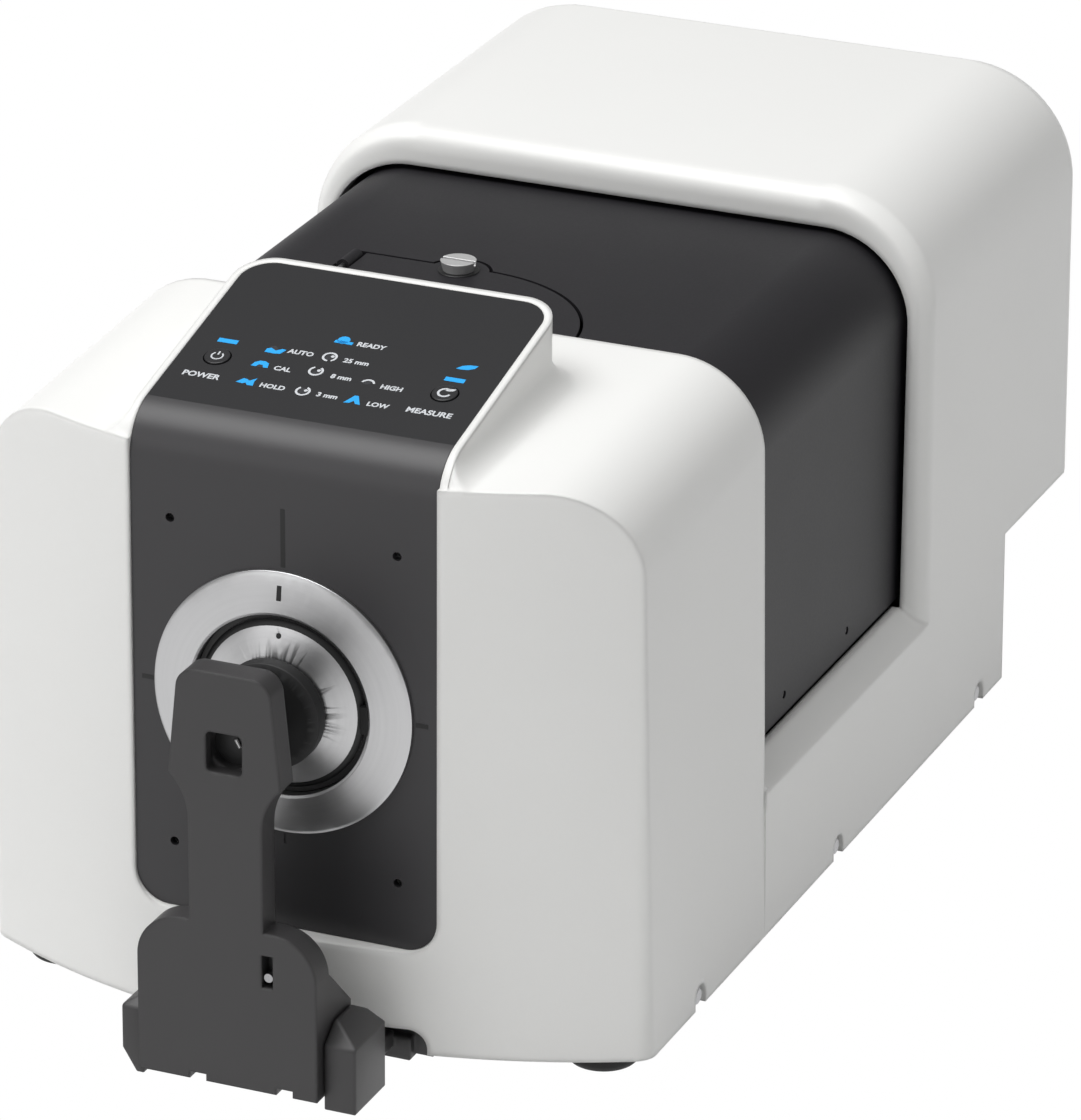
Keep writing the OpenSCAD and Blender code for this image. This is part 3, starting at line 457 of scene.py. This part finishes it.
def flat_print_and_shade(name, outlines, material, lift=0.00004, place=slope_point, depth=0.00008, body="housing"):
    """Thin flat shapes from closed outlines in millimetres: prints, and painted shade laid in grooves."""
    bm = bmesh.new()
    for outline in outlines:
        low = [bm.verts.new(place(x, v, -depth)) for x, v in outline]
        high = [bm.verts.new(place(x, v, lift)) for x, v in outline]
        bm.faces.new(high)
        bm.faces.new(low[::-1])
        count = len(outline)
        for i in range(count):
            j = (i + 1) % count
            bm.faces.new((low[i], low[j], high[j], high[i]))
    bmesh.ops.recalc_face_normals(bm, faces=bm.faces)
    mesh = bpy.data.meshes.new(name)
    bm.to_mesh(mesh)
    bm.free()
    return attach(add(name, mesh, material), body, "lamp" if material is PRINT_BLUE else "black_panel")


def disc(x, v, r, count=24):
    angles = [2 * math.pi * i / count for i in range(count)]
    return [(x + r * math.cos(a), v + r * math.sin(a)) for a in angles]


def arc(x, v, r, start, end, width, count=20):
    """Part of a ring from one angle to another, in degrees."""
    angles = [math.radians(start + (end - start) * i / count) for i in range(count + 1)]
    outer = [(x + (r + width / 2) * math.cos(a), v + (r + width / 2) * math.sin(a)) for a in angles]
    inner = [(x + (r - width / 2) * math.cos(a), v + (r - width / 2) * math.sin(a)) for a in reversed(angles)]
    return outer + inner


def bar(x, v, w, h):
    return [(x - w / 2, v - h / 2), (x + w / 2, v - h / 2), (x + w / 2, v + h / 2), (x - w / 2, v + h / 2)]


def moved(outline, x, v, size=1.0):
    return [(x + px * size, v + pv * size) for px, pv in outline]


def ring_mark(x, v, opening, reach=300):
    """Round white mark with a gap and a dot beside its centre."""
    return [arc(x, v, 2.3, opening, opening + reach, 0.8), disc(x + 0.9, v + 0.5, 0.7, 12)]


BOW = [(-3.3, -1.3), (-3.2, 0.7), (-1.8, 1.5), (0.1, 0.3), (2.2, 1.8), (3.6, 1.5), (2.4, -1.1), (0.2, -1.5)]
ARCH = [(-3.1, -1.6), (-2.5, 0.5), (-1.0, 1.8), (0.9, 1.9), (2.6, 0.9), (3.1, -1.6), (1.5, -1.7), (0.8, -0.3),
        (-0.6, -0.3), (-1.2, -1.6)]
PEAK = [(-3.5, -1.3), (-1.7, 1.3), (-0.1, 1.1), (0.6, 0.3), (2.9, 2.4), (2.6, 0.3), (3.1, -2.1), (0.9, -2.1),
        (0.0, -0.9), (-1.0, -1.6)]
ARROW = [(-2.9, -2.3), (-0.7, 2.4), (0.7, 2.5), (3.1, -2.2), (1.3, -2.1), (0.2, -0.5), (-0.9, -2.0)]
LEAF = [(-3.4, -1.0), (-1.8, 0.9), (0.6, 1.9), (3.6, 2.1), (2.9, 0.3), (0.9, -0.9), (-1.2, -1.2)]

flat_print_and_shade("button_bars", [bar(-43.0, 36.7, 7.2, 2.3), bar(41.0, 35.5, 7.2, 2.3)], PRINT_BLUE)
flat_print_and_shade("lit_marks", [
    moved(BOW, -25.0, 35.4), moved(ARCH, -26.3, 26.9), moved(PEAK, -26.7, 16.3), moved(ARROW, 12.9, 15.6),
    disc(-4.9, 47.6, 2.2), bar(-4.4, 46.3, 6.6, 1.5), moved(LEAF, 42.0, 43.0)], PRINT_BLUE)
flat_print_and_shade("ring_marks", ring_mark(-5.4, 37.0, -60, 330) + ring_mark(-6.5, 28.0, 120) + ring_mark(-5.9, 15.9, 130)
           + [arc(13.4, 25.6, 2.2, 15, 165, 0.8)], PRINT_WHITE)


def lettering(name, words, material, size):
    """Printed words, each given with its place on the slope in millimetres."""
    bm = bmesh.new()
    for word, x, v in words:
        curve = bpy.data.curves.new(name, "FONT")
        curve.body = word
        curve.size = size * MM
        curve.align_x = "CENTER"
        curve.align_y = "CENTER"
        curve.extrude = 0.00004
        curve.offset = 0.00012
        curve.resolution_u = 3
        line = bpy.data.objects.new(name, curve)
        scene.collection.objects.link(line)
        mesh = bpy.data.meshes.new_from_object(line.evaluated_get(bpy.context.evaluated_depsgraph_get()))
        bpy.data.objects.remove(line)
        bpy.data.curves.remove(curve)
        origin = slope_point(x, v, 0.0)
        for vertex in mesh.vertices:
            co = vertex.co.copy()
            vertex.co = origin + Vector((co.x, 0, 0)) + SLOPE_UP * co.y + SLOPE_OUT * co.z
        bm.from_mesh(mesh)
        bpy.data.meshes.remove(mesh)
    mesh = bpy.data.meshes.new(name)
    bm.to_mesh(mesh)
    bm.free()
    return attach(add(name, mesh, material), "housing", "black_panel")


lettering("button_words", [("POWER", -43.3, 15.5), ("MEASURE", 40.3, 15.2)], PRINT_WHITE, 3.9)
lettering("setting_words", [
    ("AUTO", -15.9, 36.6), ("CAL", -18.0, 26.0), ("HOLD", -16.9, 15.4), ("READY", 5.6, 46.6), ("25 mm", 4.6, 36.4),
    ("8 mm", 3.4, 26.6), ("3 mm", 3.2, 15.4), ("HIGH", 22.4, 25.2), ("LOW", 21.9, 14.7)], PRINT_WHITE, 3.3)


def key_sign(name, body, outlines):
    """Sign on a button's cap, which moves with its button."""
    return flat_print_and_shade(name, outlines, PRINT_WHITE, body=body,
                      place=lambda x, v, lift: slope_point(x, v, KEY_PROUD + lift))


key_sign("power_sign", "power_key", [arc(-42.5, 27, 2.0, 130, 410, 0.55), bar(-42.5, 28.6, 0.6, 2.0)])
key_sign("measure_sign", "measure_key", [arc(41.0, 27, 2.2, 60, 340, 0.8), moved(LEAF, 42.4, 28.6, 0.5)])


def lamp_windows():
    """Small dark windows of all the lamps. The lit ones have their marks printed over them."""
    outlines = []
    for low, high in LAMPS:
        reach = (low + high) / 2 - SEAM
        outlines.append(disc(reach.x / MM, reach.dot(SLOPE_UP) / MM, 1.6, 20))
    windows = flat_print_and_shade("lamp_windows", outlines, LAMP_OFF, lift=0.00002, depth=0.0009)
    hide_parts("status_lamps")


def cone_point(front, edge, rise):
    """Places a mark on a cone round the port (the mask's printed dot, and the painted shade in the ring's tick cut):
    front is its y at the radius edge, rise its slope inwards.
    """
    def place(x, v, lift):
        radius = math.hypot(x, v)
        return Vector((x * MM, (front - rise * (edge - radius)) * MM - lift, PORT_H + v * MM))
    return place


def panel_point(x, v, lift):
    return Vector((x * MM, PANEL_Y - lift, PORT_H + v * MM))


def turned_form(name, profile, material, body, slot, centre=(0.0, 0.0), upright=False, count=72):
    """Turned part from a closed profile of (radius, height) pairs in metres, about the port's or an upright axis."""
    bm = bmesh.new()
    rings = []
    for i in range(count):
        angle = 2 * math.pi * i / count
        c, t = math.cos(angle), math.sin(angle)
        if upright:
            rings.append([bm.verts.new((centre[0] + r * c, centre[1] + r * t, h)) for r, h in profile])
        else:
            rings.append([bm.verts.new((centre[0] + r * c, h, centre[1] + r * t)) for r, h in profile])
    points = len(profile)
    for i in range(count):
        here, there = rings[i], rings[(i + 1) % count]
        for k in range(points):
            n = (k + 1) % points
            bm.faces.new((here[k], here[n], there[n], there[k]))
    bmesh.ops.remove_doubles(bm, verts=bm.verts, dist=0.0000005)
    bmesh.ops.recalc_face_normals(bm, faces=bm.faces)
    mesh = bpy.data.meshes.new(name)
    bm.to_mesh(mesh)
    bm.free()
    for polygon in mesh.polygons:
        polygon.use_smooth = True
    mesh.set_sharp_from_angle(angle=SHARP_FROM)
    return attach(add(name, mesh, material), body, slot)


LAMPS = islands("status_lamps")
lamp_windows()
# Dark strip laid in the ring's tick cut: painted shade of the cut.
flat_print_and_shade("ring_tick_shade", [bar(0, 40.5, 1.7, 5.2)], DARK_PRINT_AND_SHADE, place=cone_point(-204.5, 46.0, 0.16), lift=0.00006)
flat_print_and_shade("mask_dot", [disc(0, 25.3, 0.95, 16)], DARK_PRINT_AND_SHADE, place=cone_point(-204.5, 29.3, 0.331), lift=0.00006,
           body="mask")
# Black strips laid in the panel's index grooves: painted shade of the grooves.
flat_print_and_shade("panel_groove_shade", [bar(0, 59.0, 1.7, 21), bar(50.5, 0, 4.6, 1.7), bar(-50.5, 0, 4.6, 1.7)], DARK_PRINT_AND_SHADE,
           place=panel_point, lift=0.00005)
flat_print_and_shade("mask_stop", [arc(0, 0, 31.4, -9, 9, 2.6)], DARK_PRINT_AND_SHADE, place=lambda x, v, lift: Vector(
    (x * MM, -0.2063 - lift, PORT_H + v * MM)), depth=0.0022)
turned_form("mask_rim", [(0.0283, -0.20488), (0.02935, -0.20455), (0.03036, -0.2035), (0.03030, -0.2034),
                         (0.0293, -0.2044), (0.0283, -0.2048)], DARK_PRINT_AND_SHADE, "mask", "black_plastic",
            centre=(0.0, PORT_H))
# A thin black ring round the knob's foot is painted shade under the knob's head, not a part of its own.
turned_form("knob_foot_shade", [(0.0052, 0.2118), (0.0073, 0.2118), (0.0075, 0.212), (0.0073, 0.2122), (0.0052, 0.2122)],
            DARK_PRINT_AND_SHADE, "lid", "black_plastic", centre=KNOB_AXIS, upright=True, count=40)


def block(bm, low, high, cuts=()):
    """Adds a box cut by planes, each given by a point on it and its outward normal. Millimetres from the datum."""
    part = bmesh.new()
    bmesh.ops.create_cube(part, size=1.0)
    for vertex in part.verts:
        vertex.co = Vector([low[i] + (vertex.co[i] + 0.5) * (high[i] - low[i]) for i in range(3)])
    for point, normal in cuts:
        everything = part.verts[:] + part.edges[:] + part.faces[:]
        bmesh.ops.bisect_plane(part, geom=everything, plane_co=point, plane_no=normal, clear_outer=True)
        bmesh.ops.holes_fill(part, edges=part.edges)
    for vertex in part.verts:
        vertex.co = Vector((vertex.co.x * MM, vertex.co.y * MM + DATUM_Y, vertex.co.z * MM))
    bmesh.ops.recalc_face_normals(part, faces=part.faces)
    mesh = bpy.data.meshes.new("block")
    part.to_mesh(mesh)
    part.free()
    bm.from_mesh(mesh)
    bpy.data.meshes.remove(mesh)


def sill_corners():
    """Small hollow fillets where the sills under the hood run into the front cover's back, one on each side."""
    bm = bmesh.new()
    radius = 0.006
    for side in (1, -1):
        loops = []
        for x, z in ((0.1147, 0.0710), (0.1229, 0.0631)):
            outline = [(FRONT_TOWER_BACK - 0.0004, z - 0.0006), (FRONT_TOWER_BACK + radius, z - 0.0006)]
            for step in range(9):
                angle = math.radians(270 - 90 * step / 8)
                outline.append((FRONT_TOWER_BACK + radius + radius * math.cos(angle),
                                z + radius + radius * math.sin(angle)))
            outline.append((FRONT_TOWER_BACK - 0.0004, z + radius))
            loops.append([bm.verts.new((side * x, y, h)) for y, h in outline])
        count = len(loops[0])
        bm.faces.new(loops[0])
        bm.faces.new(loops[1][::-1])
        for k in range(count):
            n = (k + 1) % count
            bm.faces.new((loops[0][k], loops[0][n], loops[1][n], loops[1][k]))
    bmesh.ops.recalc_face_normals(bm, faces=bm.faces)
    mesh = bpy.data.meshes.new("sill_corners")
    bm.to_mesh(mesh)
    bm.free()
    for polygon in mesh.polygons:
        polygon.use_smooth = True
    mesh.set_sharp_from_angle(angle=SHARP_FROM)
    attach(add("sill_corners", mesh, FINISH["white_shell"]), "housing", "white_shell")


sill_corners()


def dressed_bracket():
    """Arm bracket with whole ears, whose tops slope down and outwards, and its tongue as the source has it."""
    bm = merged("arm_bracket")
    bmesh.ops.bisect_plane(bm, geom=bm.verts[:] + bm.edges[:] + bm.faces[:], plane_co=(0, DATUM_Y - 0.0079, 0),
                           plane_no=(0, 1, 0), clear_inner=True)
    bmesh.ops.holes_fill(bm, edges=bm.edges)
    for side in (1, -1):
        outer = 45.0 if side > 0 else 41.5
        near, far = (33.5, outer) if side > 0 else (-outer, -33.5)
        cuts = [((outer * side, 0, 27), (6 * side, 0, 11)), ((0, -52.5, 26.5), (0, -6, 8.5)),
                ((0, -29, 31.0), (0, 3, 5))]
        if side < 0:
            cuts.append(((-outer, 0, 11), (-9, 0, -5.5)))
        block(bm, (near, -52.5, 2.6), (far, -28.0, 32.4), cuts)
        block(bm, (min(33.8 * side, 39 * side), -29.0, 7.0), (max(33.8 * side, 39 * side), -7.5, 13.0))
    mesh = bpy.data.meshes.new("arm_bracket_soft")
    bmesh.ops.dissolve_limit(bm, angle_limit=math.radians(0.6), verts=bm.verts, edges=bm.edges)
    bm.to_mesh(mesh)
    bm.free()
    piece = add("arm_bracket_soft", mesh, FINISH["dark_plastic"])
    bevel = piece.modifiers.new("round_edges", "BEVEL")
    bevel.limit_method = "ANGLE"
    bevel.angle_limit = math.radians(25)
    bevel.width = 0.0022
    bevel.segments = 4
    for polygon in mesh.polygons:
        polygon.use_smooth = True
    baked(piece)
    piece.data.set_sharp_from_angle(angle=SHARP_FROM)
    attach(piece, "housing", "dark_plastic", "arm_bracket")


def rod(name, radius, length, bevel, finish, body, slot, count):
    """Upright rod that stands on the origin, with bevelled ends."""
    rim = radius - bevel
    profile = [(0.0, 0.0), (rim, 0.0), (radius, bevel), (radius, length - bevel), (rim, length), (0.0, length)]
    return turned_form(name, profile, FINISH[finish], body, slot, upright=True, count=count)


def hinge_pin():
    """Pin of the arm's hinge, which ends inside the dressed bracket's ears and so is shorter than the source's."""
    length = 0.0694
    low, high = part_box("arm_hinge_pin")
    pin = rod("hinge_pin_turned", 0.003, length, 0.0004, "steel", "housing", "steel", 32)
    for vertex in pin.data.vertices:
        x, y, z = vertex.co
        vertex.co = (z - length / 2, (low[1] + high[1]) / 2 + y, (low[2] + high[2]) / 2 + x)
    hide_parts("arm_hinge_pin")


def plunger_clip():
    """Small leaning clip that shows in the arm's window, just in front of the plunger."""
    length = 0.0034
    low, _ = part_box("pad_plunger")
    clip = rod("plunger_clip", 0.0007, length, 0.0002, "knob_silver", "pad", "silver", 16)
    lean = Matrix.Rotation(math.radians(-28), 3, "Y")
    middle = Vector((0.0012, low[1] - 0.0004, PORT_H + 0.0006))
    for vertex in clip.data.vertices:
        vertex.co = middle + lean @ (vertex.co - Vector((0, 0, length / 2)))


dressed_bracket()
hinge_pin()
plunger_clip()


# Fasteners and the arm's spring

class Growth:
    """One geometry tree. Its node() makes every node, and its inputs are named."""

    def __init__(self, name, sizes):
        self.tree = bpy.data.node_groups.new(name, "GeometryNodeTree")
        face = self.tree.interface
        face.new_socket("Geometry", in_out="INPUT", socket_type="NodeSocketGeometry")
        for size in sizes:
            face.new_socket(size, in_out="INPUT", socket_type="NodeSocketFloat")
        face.new_socket("Finish", in_out="INPUT", socket_type="NodeSocketMaterial")
        face.new_socket("Geometry", in_out="OUTPUT", socket_type="NodeSocketGeometry")
        self.given = self.tree.nodes.new("NodeGroupInput").outputs
        self.result = self.tree.nodes.new("NodeGroupOutput").inputs[0]

    def node(self, kind, settings=None, values=None, out=0):
        made = self.tree.nodes.new(kind)
        for key, value in (settings or {}).items():
            setattr(made, key, value)
        for key, value in (values or {}).items():
            if isinstance(value, bpy.types.NodeSocket):
                self.tree.links.new(value, made.inputs[key])
            else:
                made.inputs[key].default_value = value
        return made.outputs[out]

    def times(self, a, b):
        return self.node("ShaderNodeMath", {"operation": "MULTIPLY"}, {0: a, 1: b})

    def across(self, x, y, z):
        return self.node("ShaderNodeCombineXYZ", values={0: x, 1: y, 2: z})

    def ends(self, geometry):
        real = self.node("GeometryNodeRealizeInstances", values={0: geometry})
        dressed = self.node("GeometryNodeSetMaterial", values={"Geometry": real, "Material": self.given["Finish"]})
        self.tree.links.new(dressed, self.result)
        return self.tree

    def grow(self, name, mesh, material, **sizes):
        piece = add(name, mesh, material)
        live = piece.modifiers.new("grown", "NODES")
        live.node_group = self.tree
        for item in self.tree.interface.items_tree:
            if item.in_out == "INPUT" and item.name in sizes:
                live[item.identifier] = sizes[item.name]
            elif item.name == "Finish":
                live[item.identifier] = material
        return baked(piece)


def cross_screws():
    """Low screw heads with a rounded rim and a cross recess, one on each point, which carries its own direction."""
    g = Growth("cross_screws", ("radius", "height", "recess"))
    radius, height, recess = (g.given[k] for k in ("radius", "height", "recess"))
    drum = g.node("GeometryNodeMeshCylinder", {"fill_type": "NGON"},
                  {"Vertices": 28, "Radius": radius, "Depth": height})
    up = g.node("ShaderNodeSeparateXYZ", values={0: g.node("GeometryNodeInputNormal")}, out=2)
    top = g.node("FunctionNodeCompare", {"operation": "GREATER_THAN"}, {0: up, 1: 0.5})
    crown = g.node("GeometryNodeExtrudeMesh", values={
        "Mesh": drum, "Selection": top, "Offset Scale": g.times(height, SCREW_CROWN)}).node.outputs
    rounded = g.node("GeometryNodeScaleElements",
                     values={"Geometry": crown["Mesh"], "Selection": crown["Top"], "Scale": 0.78})
    cutter = g.node("GeometryNodeJoinGeometry")
    for wide, deep in ((2.6, 0.6), (0.6, 2.6)):
        size = g.across(g.times(recess, wide), g.times(recess, deep), height)
        blade = g.node("GeometryNodeMeshCube", values={"Size": size})
        raised = g.node("GeometryNodeTransform",
                        values={"Geometry": blade, "Translation": g.across(0.0, 0.0, height)})
        g.tree.links.new(raised, cutter.node.inputs[0])
    head = g.node("GeometryNodeMeshBoolean", {"operation": "DIFFERENCE"}, {"Mesh 1": rounded, "Mesh 2": cutter})
    way = g.node("GeometryNodeInputNamedAttribute", {"data_type": "FLOAT_VECTOR"}, {"Name": "way"})
    turn = g.node("FunctionNodeAlignRotationToVector", {"axis": "Z"}, {"Vector": way})
    heads = g.node("GeometryNodeInstanceOnPoints",
                   values={"Points": g.given["Geometry"], "Instance": head, "Rotation": turn})
    g.ends(heads)
    return g


def side_screws(node, radius, height, recess):
    """Screws that stand for a node's plain discs on the two long sides, with the crown's top at the discs' face."""
    reach = height * 0.5 + height * SCREW_CROWN
    places, ways = [], []
    for low, high in islands(node):
        side = 1.0 if low.x > 0 else -1.0
        face = high.x if side > 0 else low.x
        places.append((face - side * reach, (low.y + high.y) / 2, (low.z + high.z) / 2))
        ways.append((side, 0.0, 0.0))
    points = bpy.data.meshes.new(node + "_places")
    points.from_pydata(places, [], [])
    way = points.attributes.new("way", "FLOAT_VECTOR", "POINT")
    way.data.foreach_set("vector", [v for w in ways for v in w])
    heads = SCREWS.grow(node + "_heads", points, FINISH["steel"], radius=radius, height=height, recess=recess)
    return attach(heads, "housing", "steel", node)


SCREWS = cross_screws()
side_screws("cover_screws", 0.003, 0.0009, 0.0011)
side_screws("hood_screws", 0.0015, 0.0014, 0.0006)


def wound_spring():
    """Torsion spring round the arm's hinge pin, one wire from end to end."""
    g = Growth("wound_spring", ("turns", "radius", "length", "wire"))
    coil = g.node("GeometryNodeCurveSpiral", values={
        "Resolution": 40, "Rotations": g.given["turns"], "Start Radius": g.given["radius"],
        "End Radius": g.given["radius"], "Height": g.given["length"]})
    ring = g.node("GeometryNodeCurvePrimitiveCircle", values={"Resolution": 12, "Radius": g.given["wire"]})
    tube = g.node("GeometryNodeCurveToMesh", values={"Curve": coil, "Profile Curve": ring, "Fill Caps": True})
    low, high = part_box("arm_spring")
    laid = g.node("GeometryNodeTransform", values={
        "Geometry": tube, "Translation": (low[0] + SPRING_WIRE, (low[1] + high[1]) / 2, (low[2] + high[2]) / 2),
        "Rotation": (0.0, math.pi / 2, 0.0)})
    g.ends(laid)
    radius = (high[2] - low[2]) / 2 - SPRING_WIRE
    coil_piece = g.grow("arm_spring_wire", bpy.data.meshes.new("arm_spring_start"), FINISH["steel"],
                        turns=8.0, radius=radius, length=high[0] - low[0] - 2 * SPRING_WIRE, wire=SPRING_WIRE)
    for polygon in coil_piece.data.polygons:
        polygon.use_smooth = True
    return attach(coil_piece, "housing", "steel", "arm_spring")


wound_spring()


# Floor, lights and camera

def add_floor():
    f = Finish("studio_floor")
    cloud = f.noise(0.6, 2.0)
    diffuse = f.node("ShaderNodeBsdfDiffuse", values={"Color": f.mix(cloud, rgb(226, 226, 226), rgb(222, 222, 222))})
    shine = f.node("ShaderNodeEmission", values={"Color": (1, 1, 1, 1), "Strength": 1.0})
    rays = f.node("ShaderNodeLightPath")
    white = (rays.part("Is Camera Ray") + rays.part("Is Glossy Ray") + rays.part("Is Transmission Ray")).clamped()
    seen = f.node("ShaderNodeMixShader", values={0: white, 1: diffuse, 2: shine})
    f.finished(seen)
    mesh = bpy.data.meshes.new("floor")
    mesh.from_pydata([(-6, -6, 0), (6, -6, 0), (6, 6, 0), (-6, 6, 0)], [], [(0, 1, 2, 3)])
    add("floor", mesh, f.material)


def add_world():
    world = bpy.data.worlds.new("studio")
    scene.world = world
    world.use_nodes = True
    tree = world.node_tree
    tree.nodes.clear()
    rays = tree.nodes.new("ShaderNodeLightPath")
    light = tree.nodes.new("ShaderNodeBackground")
    light.inputs["Color"].default_value = (1, 1, 1, 1)
    light.inputs["Strength"].default_value = 0.30
    seen = tree.nodes.new("ShaderNodeBackground")
    seen.inputs["Color"].default_value = (1, 1, 1, 1)
    seen.inputs["Strength"].default_value = 1.0
    mix = tree.nodes.new("ShaderNodeMixShader")
    out = tree.nodes.new("ShaderNodeOutputWorld")
    tree.links.new(rays.outputs["Is Camera Ray"], mix.inputs[0])
    tree.links.new(light.outputs[0], mix.inputs[1])
    tree.links.new(seen.outputs[0], mix.inputs[2])
    tree.links.new(mix.outputs[0], out.inputs["Surface"])


def add_light(name, place, aim, width, height, power):
    data = bpy.data.lights.new(name, "AREA")
    data.shape = "RECTANGLE"
    data.size = width
    data.size_y = height
    data.energy = power
    lamp = bpy.data.objects.new(name, data)
    scene.collection.objects.link(lamp)
    lamp.location = place
    lamp.rotation_euler = (Vector(aim) - Vector(place)).to_track_quat("-Z", "Y").to_euler()


def add_camera():
    """Camera of the photograph, as fitted to the housing's edges."""
    azimuth, elevation, roll = 0.40059055, 0.39917252, 0.0066543
    ahead = Vector((-math.sin(azimuth) * math.cos(elevation), math.cos(azimuth) * math.cos(elevation),
                    -math.sin(elevation)))
    level = Vector((math.cos(azimuth), math.sin(azimuth), 0))
    upright = level.cross(ahead)
    right = level * math.cos(roll) + upright * math.sin(roll)
    up = upright * math.cos(roll) - level * math.sin(roll)
    data = bpy.data.cameras.new("camera")
    data.sensor_width = 36
    data.lens = 229
    data.shift_x = -0.00146
    data.shift_y = -0.0009
    data.clip_start = 0.1
    camera = bpy.data.objects.new("camera", data)
    scene.collection.objects.link(camera)
    place = Vector((0.9284, -2.1737, 1.0998))
    rows = [(right[i], up[i], -ahead[i], place[i]) for i in range(3)]
    camera.matrix_world = Matrix((*rows, (0, 0, 0, 1)))
    scene.camera = camera


scene.view_settings.view_transform = "Standard"
add_floor()
add_world()
add_light("key_above", (-0.5, -0.5, 2.2), (0, 0, 0.15), 1.8, 1.8, 50)
add_light("fill_front", (-0.9, -2.2, 0.9), (0, -0.1, 0.12), 1.4, 1.2, 7)
add_light("fill_right", (2.4, 0.2, 0.9), (0, 0.05, 0.12), 1.2, 1.2, 1)
add_camera()
